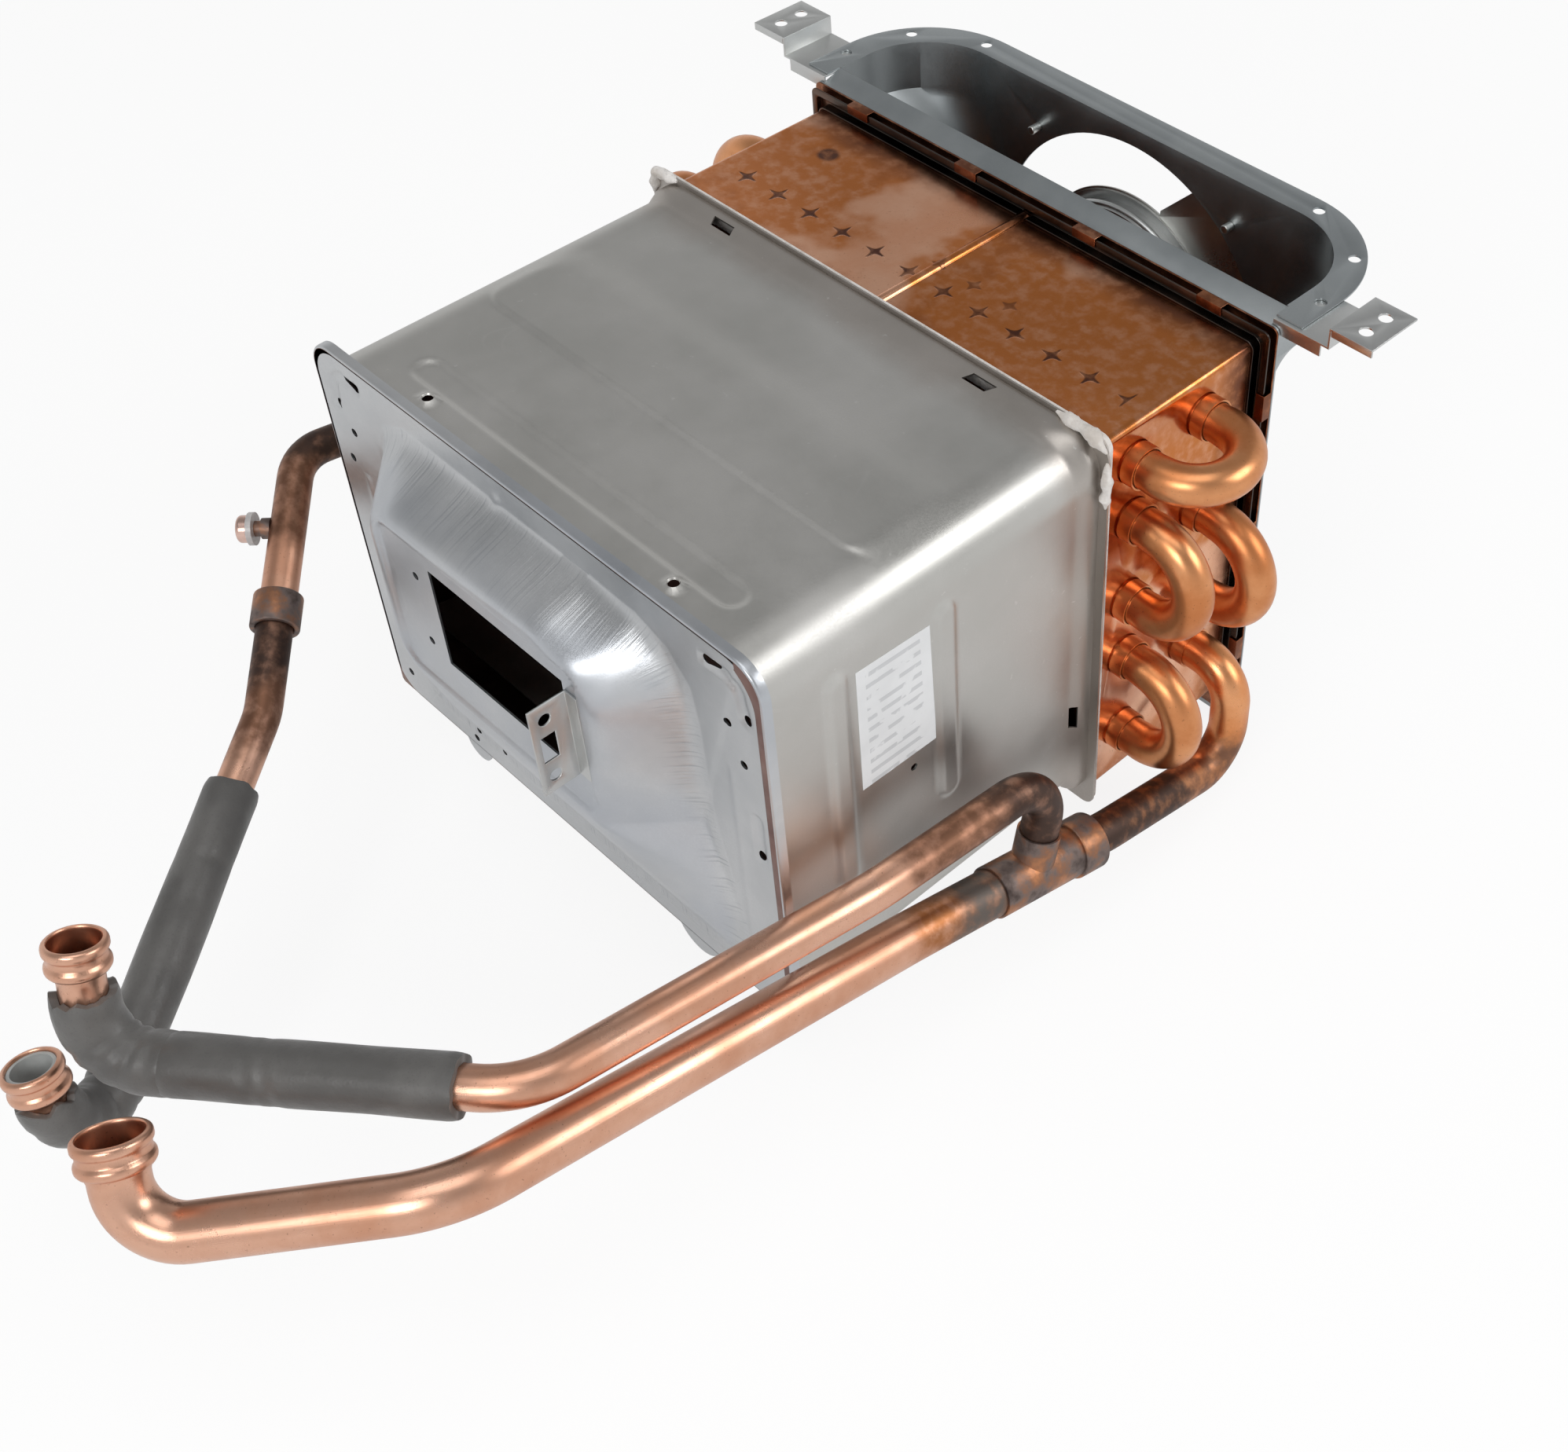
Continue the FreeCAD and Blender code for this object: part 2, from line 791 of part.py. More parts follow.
# Combustion chamber: a drawn box, flared at the back, with pressed ribs
rear_half = chamber_half + size("flare_side")
rear_bottom = chamber_bottom - size("flare_drop")
flange_bottom = rear_bottom - size("rear_flange_drop")
rib_y = chamber_front + size("rib_front_gap")
presses = ((rib_y, size("rib_length"), size("rib_width"), size("rib_depth")),
           (rib_y + size("step_gap"), size("step_length"), size("step_width"),
            size("rib_depth") / 2))
side_rib_z = chamber_bottom + size("chamber_height") / 2 + size("side_rib_rise")
side_presses = ((chamber_front + size("side_rib_front"), size("side_rib_length")),
                (chamber_front + size("side_rib_rear"), size("side_rib_short")))


def chamber_block(label, shrink, front, back, rib_grow):
    """The box and its flare, drawn in by shrink, with the ribs of its top and right side."""
    made = body(label)
    half = chamber_half - shrink
    bottom = chamber_bottom + shrink
    top = chamber_top - shrink
    high = size("chamber_corner") - shrink
    low = size("chamber_low_corner") - shrink
    flared = size("flare_corner") - shrink
    outlines = []
    for place in (front, flare_front):
        outline = sketch_on(made, "XZ_Plane", place, label + "_outline")
        draw_frame(outline, half, bottom, top, high, low)
        outlines.append(outline)
    outline = sketch_on(made, "XZ_Plane", back, label + "_flare_outline")
    draw_frame(outline, rear_half - shrink, rear_bottom + shrink, top + size("flare_rise"), flared,
               flared)
    lofted(outlines + [outline], label + "_walls")
    for y, length, width, depth in presses:
        rib = sketch_on(made, "XY_Plane", chamber_top - depth - rib_grow, label + "_rib_outline")
        draw_slot(rib, size("rib_shift"), y, length + 2 * rib_grow, width + 2 * rib_grow, (1, 0))
        pocket(rib, 5, label + "_rib")
    for y, length in side_presses:
        rib = sketch_on(made, "YZ_Plane", chamber_half - 2, label + "_side_rib_outline")
        draw_slot(rib, y, side_rib_z, length - 2 * rib_grow, size("side_rib_width") - 2 * rib_grow,
                  (0, 1))
        pad(rib, 2 + size("rib_depth") - rib_grow, label + "_side_rib")
    return made


front_flange = body("chamber_front_flange")
flange = sketch_on(front_flange, "XZ_Plane", chamber_front - steel, "front_flange_outline")
draw_frame(flange, cover_half - steel - gap, cover_bottom + steel + gap, cover_top - steel - gap,
           size("cover_corner") - steel, 1.3)
draw_frame(flange, chamber_half - steel, chamber_bottom + steel, chamber_top - steel,
           size("chamber_corner") - steel, size("chamber_low_corner") - steel)
pad(flange, steel, "front_flange_sheet")
rear_flange = body("chamber_rear_flange")
flange = sketch_on(rear_flange, "XZ_Plane", gasket_front - steel, "rear_flange_outline")
rear_corner = size("rear_flange_corner")
draw_frame(flange, cover_half, flange_bottom, frame_top, rear_corner, rear_corner)
draw_frame(flange, rear_half - steel, rear_bottom + steel, chamber_top + size("flare_rise"),
           size("flare_corner") - steel, size("flare_corner") - steel)
pad(flange, steel, "rear_flange_sheet")
collars = body("chamber_collars")
openings = body("chamber_openings")
rings = sketch_on(collars, "XY_Plane", chamber_top - steel / 2, "collar_outlines")
cuts = sketch_on(openings, "XY_Plane", chamber_top - 3, "chamber_opening_plan")
hole_r = size("collar_hole") / 2
collar_y = chamber_front + size("collar_gap")
window_y = (flare_front + gasket_front) / 2
for side in (-1, 1):
    x = side * size("collar_half") + size("rib_shift")
    draw_circle(rings, x, collar_y, hole_r + steel)
    draw_circle(cuts, x, collar_y, hole_r)
    left = side * size("window_half") - size("window_length") / 2
    draw_box(cuts, left, window_y, left + size("window_length"), window_y + size("window_width"))
pad(rings, size("collar_rise") + steel / 2, "collar_rings")
pad(cuts, 8, "chamber_opening_blocks")
box_sheet = cut("chamber_box", chamber_block("chamber_out", 0, chamber_front, gasket_front, 0),
                chamber_block("chamber_in", steel, chamber_front - 1, gasket_front + 0.001, steel))
chamber_sheet = fuse("chamber_sheet", box_sheet, front_flange, rear_flange, collars)
keep(cut("combustion_chamber", chamber_sheet, openings))

# Curved baffle low inside the chamber: a quarter of a round tube
baffle_y = chamber_front + size("baffle_gap")
baffle_z = chamber_bottom + steel + 1
baffle_half = chamber_half - size("baffle_inset")
radius = size("baffle_radius")
baffle = keep(body("inner_baffle"))
profile = sketch_on(baffle, "YZ_Plane", -baffle_half, "baffle_profile")
centre = V(baffle_y, baffle_z, 0)
for r in (radius, radius - steel):
    circle = Part.Circle(centre, Z_AXIS, float(r))
    index = profile.addGeometry(Part.ArcOfCircle(circle, 0, math.pi / 2))
    fix_place(profile, index, 3, baffle_y, baffle_z)
    fix(profile, "Radius", index, r)
up = V(0, 1, 0)
profile.addGeometry(Part.LineSegment(centre + up * radius, centre + up * (radius - steel)))
profile.addGeometry(Part.LineSegment(centre + X_AXIS * (radius - steel), centre + X_AXIS * radius))
for one, end, other, start in ((0, 2, 2, 1), (2, 2, 1, 2), (1, 1, 3, 1), (3, 2, 0, 1)):
    profile.addConstraint(Sketcher.Constraint("Coincident", one, end, other, start))
profile.addConstraint(Sketcher.Constraint("Vertical", 2))
profile.addConstraint(Sketcher.Constraint("Horizontal", 3))
fix(profile, "DistanceX", -1, 1, 2, 1, baffle_y)
fix(profile, "DistanceY", -1, 1, 3, 1, baffle_z)
pad(profile, 2 * baffle_half, "baffle_sheet")

# Fibre gasket between the chamber and the copper block
border = size("gasket_border")
lap = size("gasket_lap")
gasket = keep(body("chamber_gasket"))
outline = sketch_on(gasket, "XZ_Plane", gasket_front, "gasket_outline")
draw_frame(outline, cover_half - border, flange_bottom + border, frame_top - border, 5, 5)
draw_frame(outline, block_half - lap, block_bottom + lap, block_top - lap, 5, 5)
pad(outline, size("gasket_thick"), "gasket_sheet")

# Copper shell of the finned block: a box tube with a flange at each end
tube_r = size("tube_outer") / 2
front_row = block_front + size("front_row_gap")
rear_row = front_row + size("row_spacing")
tube_places = [(front_row, size("front_tube_" + mark)) for mark in "abcde"]
tube_places += [(rear_row, size("rear_tube_" + mark)) for mark in "abcd"]
block_corner = size("block_corner")
frame_corner = size("frame_corner")
block_length = size("block_length")
shell = keep(body("fin_body_shell"))
outline = sketch_on(shell, "XZ_Plane", block_front, "block_outline")
draw_frame(outline, block_half, block_bottom, block_top, block_corner, block_corner)
pad(outline, block_length, "block_tube")
bead_z = block_top - size("bead_radius") / 3
bead_front = block_front + size("bead_inset")
bead_length = block_length - 2 * size("bead_inset")
bead = sketch_on(shell, "XZ_Plane", bead_front, "bead_outline")
draw_circle(bead, 0, bead_z, size("bead_radius"))
pad(bead, bead_length, "bead")
outline = sketch_on(shell, "XZ_Plane", block_front, "front_flange_edge")
flange = size("block_flange")
draw_frame(outline, block_half + flange, block_bottom - 1, block_top + flange, 4, 4)
pad(outline, copper, "block_front_flange")
outline = sketch_on(shell, "XZ_Plane", block_back - copper, "rear_flange_edge")
draw_frame(outline, frame_half, frame_bottom, frame_top, frame_corner, frame_corner)
pad(outline, copper, "block_rear_flange")
outline = sketch_on(shell, "XZ_Plane", block_front - 1, "block_room")
draw_frame(outline, block_half - copper, block_bottom + copper, block_top - copper,
           block_corner - copper, block_corner - copper)
pocket(outline, block_length + 2, "block_hollow")
bead = sketch_on(shell, "XZ_Plane", bead_front + copper, "bead_room")
draw_circle(bead, 0, bead_z, size("bead_radius") - copper)
pocket(bead, bead_length - 2 * copper, "bead_hollow")
holes = sketch_on(shell, "YZ_Plane", -(frame_half + 20), "tube_holes")
for y, z in tube_places:
    draw_circle(holes, y, z, tube_r + gap)
pocket(holes, 2 * (frame_half + 20), "tube_hole_cut")

# Tabs of the rear flange, folded round the clamping frame's edge
seal_back = block_back - copper
strip_front = seal_back - size("frame_step") - steel
tab = size("fold_tab")
tab_lip = size("fold_tab_lip")
tab_front = strip_front - gap - copper
for x in (-size("tab_outer"), -size("tab_inner"), size("tab_inner"), size("tab_outer")):
    fold = sketch_on(shell, "YZ_Plane", x - tab / 2, "top_tab_fold")
    draw_polygon(fold, [(tab_front, frame_top - tab_lip), (tab_front + copper, frame_top - tab_lip),
                        (tab_front + copper, frame_top - copper), (block_back, frame_top - copper),
                        (block_back, frame_top), (tab_front, frame_top)])
    pad(fold, tab, "top_tab")
tab_middle = (block_top + block_bottom) / 2
for side in (-1, 1):
    edge = side * frame_half
    for z in (tab_middle - size("tab_pitch"), tab_middle, tab_middle + size("tab_pitch")):
        fold = sketch_on(shell, "XY_Plane", z - tab / 2, "side_tab_fold")
        draw_polygon(fold, [(edge, tab_front), (edge, block_back), (edge - side * copper, block_back),
                            (edge - side * copper, tab_front + copper),
                            (edge - side * tab_lip, tab_front + copper),
                            (edge - side * tab_lip, tab_front)])
        pad(fold, tab, "side_tab")

# Fins: one plate with its tube holes, repeated along the block
fin_front = block_front + size("fin_front_gap")
fin_back = block_back - size("fin_rear_gap")
fin_base = block_bottom + size("fin_end_gap")
fin_span = 2 * (block_half - copper - size("fin_margin"))
fins = keep(body("fin_pack"))
outline = sketch_on(fins, "YZ_Plane", -(fin_span + size("fin_thick")) / 2, "fin_outline")
draw_box(outline, fin_front, fin_base, fin_back, block_top - size("fin_end_gap"))
holes = sketch_on(fins, "YZ_Plane", -fin_span / 2 - size("fin_thick"), "fin_hole_plan")
for y, z in tube_places:
    draw_circle(holes, y, z, tube_r)
fin = pad(outline, size("fin_thick"), "fin_plate")
fin_holes = pocket(holes, 2 * size("fin_thick"), "fin_holes")
row_of_fins = fins.newObject("PartDesign::LinearPattern", "fin_row")
row_of_fins.Originals = [fin, fin_holes]
row_of_fins.Direction = (outline, ["N_Axis"])
bind(row_of_fins, "Length", fin_span)
bind(row_of_fins, "Occurrences", size("fin_count"))
fins.Tip = row_of_fins

# Water tubes through the fins, each end opened out to take a bend
tube_wall = size("tube_wall")
bell_start = block_half + size("tube_swell")
bell_end = block_half + size("tube_stub")
seat_x = bell_start + tube_wall
tubes = keep(body("exchange_tubes"))


def tube_row(kind, start, end, radius, name):
    """One feature on all nine tubes, between two places along X."""
    outline = sketch_on(tubes, "YZ_Plane", start, name + "_outline")
    for y, z in tube_places:
        draw_circle(outline, y, z, radius)
    kind(outline, end - start, name)


tube_row(pad, -bell_end, bell_end, tube_r, "tube_walls")
tube_row(pad, bell_start, bell_end, tube_r + tube_wall + gap, "right_sockets")
tube_row(pad, -bell_end, -bell_start, tube_r + tube_wall + gap, "left_sockets")
tube_row(pocket, -bell_end - 1, bell_end + 1, tube_r - tube_wall, "tube_bores")
tube_row(pocket, seat_x, bell_end + 1, tube_r + gap, "right_seats")
tube_row(pocket, -bell_end - 1, -seat_x, tube_r + gap, "left_seats")


def u_bend(label, side, first, second):
    """Bend on one side of the block: a round tube drawn along two legs and a half circle."""
    made = keep(body(label))
    pitch = spread(first, second)
    stub = size("bend_stub")
    spine = sketch_on(made, "XY_Plane", 0, label + "_spine")
    spine.addGeometry(Part.LineSegment(V(0, 0, 0), V(stub, 0, 0)))
    circle = Part.Circle(V(stub, pitch / 2, 0), Z_AXIS, pitch / 2)
    spine.addGeometry(Part.ArcOfCircle(circle, -math.pi / 2, math.pi / 2))
    spine.addGeometry(Part.LineSegment(V(stub, pitch, 0), V(0, pitch, 0)))
    spine.addConstraint(Sketcher.Constraint("Tangent", 0, 2, 1, 1))
    spine.addConstraint(Sketcher.Constraint("Tangent", 1, 2, 2, 1))
    fix_place(spine, 0, 1, 0, 0)
    fix_place(spine, 0, 2, stub, 0)
    fix_place(spine, 2, 2, 0, pitch)
    ring = sketch_on(made, "YZ_Plane", 0, label + "_ring")
    draw_circle(ring, 0, 0, tube_r)
    draw_circle(ring, 0, 0, tube_r - tube_wall)
    bend = made.newObject("PartDesign::AdditivePipe", label + "_bend")
    bend.Profile = ring
    bend.Spine = (spine, ["Edge1", "Edge2", "Edge3"])
    across = V(0, second[0] - first[0], second[1] - first[1])
    made.Placement = FreeCAD.Placement(
        V(side * seat_x, first[0], first[1]),
        FreeCAD.Rotation(X_AXIS * side, across, V(0, 0, 0), "XYZ"))


u_bend("u_bend_right_top", 1, tube_places[0], tube_places[5])
u_bend("u_bend_right_mid_front", 1, tube_places[1], tube_places[2])
u_bend("u_bend_right_mid_rear", 1, tube_places[6], tube_places[7])
u_bend("u_bend_right_low", 1, tube_places[3], tube_places[4])
u_bend("u_bend_left_top", -1, tube_places[0], tube_places[1])
u_bend("u_bend_left_rear", -1, tube_places[5], tube_places[6])
u_bend("u_bend_left_mid", -1, tube_places[2], tube_places[3])
u_bend("u_bend_left_low", -1, tube_places[4], tube_places[8])

# Dark frame that clamps the copper block to the hood: a strip, a groove and a standing lip


def frame_ring(label, outer, inner, front, back):
    """Ring between two outlines given as (half width, bottom, top, corner)."""
    made = body(label)
    sheet_plan = sketch_on(made, "XZ_Plane", front, label + "_outline")
    half, bottom, top, corner = outer
    draw_frame(sheet_plan, half, bottom, top, corner, corner)
    pad(sheet_plan, back - front, label + "_sheet")
    opening = sketch_on(made, "XZ_Plane", front - 1, label + "_opening")
    half, bottom, top, corner = inner
    draw_frame(opening, half, bottom, top, corner, corner)
    pocket(opening, back - front + 2, label + "_cut")
    return made


def seal_ring(label, outer_in, inner_in, front, back):
    """Ring open at the bottom, its outlines drawn in from the frame's edge."""
    low = frame_bottom + size("frame_open")
    return frame_ring(label, (frame_half - outer_in, low, frame_top - outer_in, frame_corner),
                      (frame_half - inner_in, low - 10, frame_top - inner_in,
                       frame_corner - steel), front, back)


edge_in = size("frame_edge")
strip_in = edge_in + size("frame_strip")
lip_in = size("frame_border") - gap - steel
strip = seal_ring("seal_strip", edge_in, strip_in, strip_front, strip_front + steel)
groove = seal_ring("seal_groove", strip_in - steel, strip_in, strip_front, seal_back)
floor = seal_ring("seal_floor", strip_in - steel, lip_in + steel, seal_back - steel, seal_back)
standing_front = seal_back - size("frame_lip")
reach = block_half + gap
around = (reach, block_bottom - gap, block_top + gap, frame_corner)
standing = frame_ring("seal_lip", (reach + steel, block_bottom - gap - steel,
                                   block_top + gap + steel, frame_corner + steel),
                      around, standing_front, seal_back)
joggle = size("bead_radius") + 2 * gap
step = sketch_on(standing, "XZ_Plane", standing_front - 1, "joggle_outline")
draw_box(step, -joggle, block_top - joggle, joggle, block_top + 2 * joggle)
pocket(step, size("frame_lip") + 2, "joggle")
shelf = frame_ring("seal_shelf", (frame_half - lip_in, block_bottom, frame_top - strip_in + steel, 3),
                   (reach, block_bottom - 20, block_top + gap, frame_corner), seal_back - steel,
                   seal_back)
keep(fuse("seal_frame", strip, groove, floor, standing, shelf))

# Flue hood: a neck with a rim, open at the top and towards the block, over a narrower body
neck_z = rim_top - size("neck_height")
waist_z = neck_z - size("taper_height")


def hood_plan(owner, z, near_half, far_half, far, near, corner_r, name):
    """U-shaped plan with its open side at the near edge."""
    plan = sketch_on(owner, "XY_Plane", z, name)
    draw_rounded(plan, [(-near_half, near), (near_half, near), (far_half, far), (-far_half, far)],
                 [0.4, 0.4, corner_r, corner_r])
    return plan


def hood_body(label, shrink, base, crest):
    """Neck, taper and body, drawn in by shrink on all three walls."""
    made = body(label)
    near_half = hood_half - shrink
    low_half = size("foot_half") - 1.2 * shrink
    far = steel - shrink
    near = hood_face + shrink
    high_r = size("hood_corner") - shrink
    low_r = size("low_corner") - shrink
    upper = hood_plan(made, neck_z, near_half, near_half, far, near, high_r, label + "_neck_plan")
    lower = hood_plan(made, waist_z, near_half, low_half, far, near, low_r, label + "_waist_plan")
    foot = hood_plan(made, base, near_half, low_half, far, near, low_r, label + "_foot_plan")
    pad(upper, crest - neck_z, label + "_neck")
    lofted([upper, lower], label + "_taper")
    pad(foot, waist_z - base, label + "_foot")
    return made


def lip_wedge(label, drop, rise):
    """Everything above the slope from the frame's top to the rim, within the walls."""
    made = body(label)
    lip_end = hood_face + size("lip_depth")
    slope = sketch_on(made, "YZ_Plane", -hood_half, label + "_slope")
    draw_polygon(slope, [(hood_face, frame_top - drop),
                         (lip_end, rim_top - size("lip_dip") - drop),
                         (lip_end, rim_top + rise), (hood_face, rim_top + rise)])
    pad(slope, 2 * hood_half, label + "_block")
    return made


hood_out = hood_body("hood_outside", 0, hood_bottom, rim_top)
rim = hood_plan(hood_out, rim_top - steel, rim_half, rim_half, steel + size("rim_width"),
                hood_face + size("rim_near_gap"), size("hood_corner") + size("rim_width"),
                "rim_plan")
pad(rim, steel, "rim")
room = cut("hood_room", hood_body("hood_inside", steel, hood_bottom + steel, rim_top + 2),
           lip_wedge("lip_inside", steel, 3))
walls = cut("hood_walls", hood_out, lip_wedge("lip_outside", 0, 1), room)
front = body("hood_front")
outline = sketch_on(front, "XZ_Plane", hood_face, "hood_front_outline")
draw_frame(outline, frame_half, hood_bottom, frame_top, frame_corner, frame_corner)
pad(outline, steel, "hood_front_sheet")
half_x = size("screw_spread") / 2
half_z = size("screw_height") / 2
screw_r = size("screw_radius")
screw_hole = screw_r + 2 * gap
mouth_inset = 3
holes = body("hood_holes")
outline = sketch_on(holes, "XZ_Plane", hood_face - 1, "hood_mouth_plan")
draw_frame(outline, block_half - mouth_inset, block_bottom + mouth_inset,
           block_top - mouth_inset, 6, 6)
pad(outline, steel + 2, "hood_mouth_block")
flue = sketch_on(holes, "XZ_Plane", -10, "flue_plan")
draw_circle(flue, 0, 0, size("flue_hole"))
pad(flue, 20, "flue_block")
screw_plan = sketch_on(holes, "XZ_Plane", -3, "screw_hole_plan")
rim_plan = sketch_on(holes, "XY_Plane", rim_top - 3, "rim_hole_plan")
rim_mid = hood_half + size("rim_width") / 2 + 1
turn = math.radians(size("rim_hole_turn"))
corner_r = size("hood_corner")
swing = corner_r + size("rim_width") / 2 + 1
for side in (-1, 1):
    places = ((rim_mid, -size("rim_hole_side")),
              (hood_half - corner_r + swing * math.cos(turn),
               steel - corner_r + swing * math.sin(turn)),
              (hood_half - size("rim_hole_far"), steel + size("rim_width") / 2 - 0.5))
    for x, y in places:
        draw_circle(rim_plan, side * x, y, size("rim_hole") / 2)
    for z in (-half_z, half_z):
        draw_circle(screw_plan, side * half_x, z, screw_hole)
pad(rim_plan, 4, "rim_hole_pins")
pad(screw_plan, 6, "screw_hole_pins")
keep(cut("flue_hood", fuse("hood_sheet", walls, front), holes))

# Brackets on the hood: a foot under the rim, a riser and an ear with two holes
bracket_y = hood_face + size("bracket_near_gap")
bracket_low = rim_top - steel - gap - steel


def hood_bracket(label, side):
    made = keep(body(label))
    inner_x = side * (hood_half + gap)
    riser = side * (rim_half + size("bracket_reach"))
    thick = side * steel
    tip = riser + side * size("bracket_ear")
    width = size("bracket_width")
    ear_z = bracket_low + size("bracket_rise") + steel
    skirt = size("bracket_skirt")
    profile = sketch_on(made, "XZ_Plane", bracket_y, label + "_profile")
    draw_polygon(profile, [(inner_x, bracket_low), (riser + thick, bracket_low),
                           (riser + thick, ear_z), (tip, ear_z), (tip, ear_z + steel),
                           (riser, ear_z + steel), (riser, bracket_low + steel),
                           (inner_x, bracket_low + steel)])
    pad(profile, width, label + "_strap")
    edges = sketch_on(made, "XZ_Plane", bracket_y, label + "_edges")
    draw_box(edges, inner_x, bracket_low - skirt, riser - side * 3, bracket_low + steel)
    draw_box(edges, riser + side, ear_z - skirt / 2, tip, ear_z)
    pad(edges, steel, label + "_skirts")
    slots = sketch_on(made, "XY_Plane", ear_z - 1, label + "_holes")
    pitch = size("bracket_pitch")
    for along_y in (-pitch / 2, pitch / 2):
        draw_circle(slots, tip - side * size("bracket_slot_edge"), bracket_y + width / 2 + along_y,
                    size("bracket_slot") / 2)
    pocket(slots, 3, label + "_hole_cut")


hood_bracket("hood_bracket_right", 1)
hood_bracket("hood_bracket_left", -1)

# Plate outside the far wall that carries the ring, and the ring
ring_r = size("ring_outer")
bore_r = size("ring_bore")
carrier_y = steel + gap
edge = 0.35 * ring_r
reach_x = half_x + 10
reach_z = half_z + 9
slant_x = edge + reach_z - ring_r - 2.5
carrier = keep(body("collar_plate"))
outline = sketch_on(carrier, "XZ_Plane", carrier_y, "carrier_outline")
draw_polygon(outline, [(edge, ring_r + 2.5), (slant_x, reach_z), (reach_x, reach_z),
                       (reach_x, -reach_z), (slant_x, -reach_z), (edge, -ring_r - 2.5)])
pad(outline, steel, "carrier_sheet")
outline = sketch_on(carrier, "XZ_Plane", carrier_y, "carrier_round_outline")
draw_circle(outline, 0, 0, ring_r + 3)
pad(outline, steel, "carrier_round")
holes = sketch_on(carrier, "XZ_Plane", -5, "carrier_holes")
draw_circle(holes, 0, 0, bore_r + 1)
for z in (-half_z, half_z):
    draw_circle(holes, half_x, z, screw_hole)
pocket(holes, 10, "carrier_hole_cut")

ring_front = carrier_y - size("ring_depth")
ring = keep(body("flue_ring"))
profile = sketch_on(ring, "XY_Plane", 0, "ring_profile")
draw_polygon(profile, [(bore_r, ring_front), (bore_r + 3, ring_front),
                       (bore_r + 3, carrier_y - 1), (ring_r + 2, carrier_y - 1),
                       (ring_r + 2, carrier_y), (bore_r, carrier_y)])
revolved(profile, "V_Axis", "ring_wall")
bead = sketch_on(ring, "XY_Plane", 0, "ring_bead_profile")
draw_circle(bead, bore_r + 3, ring_front + 3, 1.6)
revolved(bead, "V_Axis", "ring_bead")
bore = sketch_on(ring, "XZ_Plane", -30, "ring_bore_outline")
draw_circle(bore, 0, 0, bore_r)
pocket(bore, 60, "ring_bore")

# Screws in the far wall: shank from the seat inwards, round head outwards
screws = keep(body("hood_screws"))
for side in (-1, 1):
    seat = carrier_y + steel if side > 0 else steel
    shank = size("screw_length")
    for start, length, radius, name in ((seat - shank, shank, screw_r, "shanks"),
                                        (seat, size("screw_head_height"), size("screw_head"),
                                         "heads")):
        outline = sketch_on(screws, "XZ_Plane", start, name + "_outline")
        for z in (-half_z, half_z):
            draw_circle(outline, side * half_x, z, radius)
        pad(outline, length, name)

# Pipes
main_r = size("main_outer") / 2
branch_r = size("branch_outer") / 2
side_r = size("side_outer") / 2
wall = size("pipe_wall")
run_start = V(cover_half + size("run_gap"), 0, 0)


def mouth(label, outer_size, pipe_r, end, axis):
    """Formed end: cone, bead, groove and lip turned about the pipe's axis."""
    made = body(label)
    r = outer_size / 2
    tall = size("mouth_height")
    cone = size("mouth_cone")
    bead_end = cone + size("mouth_bead")
    lip = tall - size("mouth_lip")
    k = size("mouth_round")
    groove = r - size("mouth_groove")
    bore = r - size("mouth_thick")
    profile = sketch_on(made, "XZ_Plane", 0, label + "_profile")
    draw_polygon(profile, [
        (pipe_r - wall, 0), (pipe_r, 0), (r - 2 * k, cone), (r - k / 2, cone + 0.75 * k),
        (r, cone + 1.75 * k), (r, bead_end), (groove, bead_end + k), (groove, lip), (r, lip + k),
        (r, tall - k), (r - k, tall), (bore + k / 4, tall), (bore, tall - k), (bore, cone + k),
        (pipe_r - wall, k)])
    revolved(profile, "V_Axis", label + "_turned")
    made.Placement = FreeCAD.Placement(end, FreeCAD.Rotation(Z_AXIS, axis))
    return made


def ended_pipe(label, points, radii, pipe_r, mouth_size):
    """Pipe along the points whose last end carries a formed mouth."""
    axis = (points[-1] - points[-2]).normalize()
    base = points[-1] - axis * size("mouth_height")
    run = pipe(label + "_run", points[:-1] + [base], radii, pipe_r, pipe_r - wall)
    return keep(fuse(label, run, mouth(label + "_mouth", mouth_size, pipe_r, base, axis)))


main_low = run_start + point("main_low")
main_mid = run_start + point("main_mid")
main_front = run_start + point("main_front")
run_dir = (main_mid - main_low).normalize()
tee_centre = main_low + run_dir * size("tee_place")
tee_half = size("tee_half")
main_start = tee_centre + run_dir * (tee_half - size("tee_seat"))
ended_pipe("main_pipe",
           [main_start, main_mid, main_front, point("main_turn"), point("main_tip")],
           [size("main_bend_mid"), size("main_bend_front"), size("main_bend_turn")],
           main_r, size("large_mouth"))

tee_up = point("tee_up").normalize()
tee_foot = tee_centre - run_dir * tee_half
tee_end = tee_centre + run_dir * tee_half
tee_top = tee_centre + tee_up * tee_half
tee_wall = size("tee_wall")
branch_start = tee_top - tee_up * size("branch_seat")


def rod(radius, start, end):
    axis = end - start
    return Part.makeCylinder(radius, axis.Length, start, axis)


# The saddle where the tee's two tubes cross is worked out on the solids themselves
tee = rod(main_r + tee_wall, tee_foot, tee_end)
tee = tee.fuse(rod(branch_r + tee_wall, tee_centre, tee_top))
tee = tee.cut(rod(main_r - wall, tee_centre - run_dir * (tee_half + 1), tee_end + run_dir))
tee = tee.cut(rod(branch_r - wall, tee_centre, tee_top + tee_up))
tee = tee.cut(rod(main_r + gap, main_start, tee_end + run_dir))
tee = tee.cut(rod(branch_r + gap, branch_start, tee_top + tee_up))
keep(doc.addObject("Part::Feature", "pipe_tee")).Shape = tee.removeSplitter()

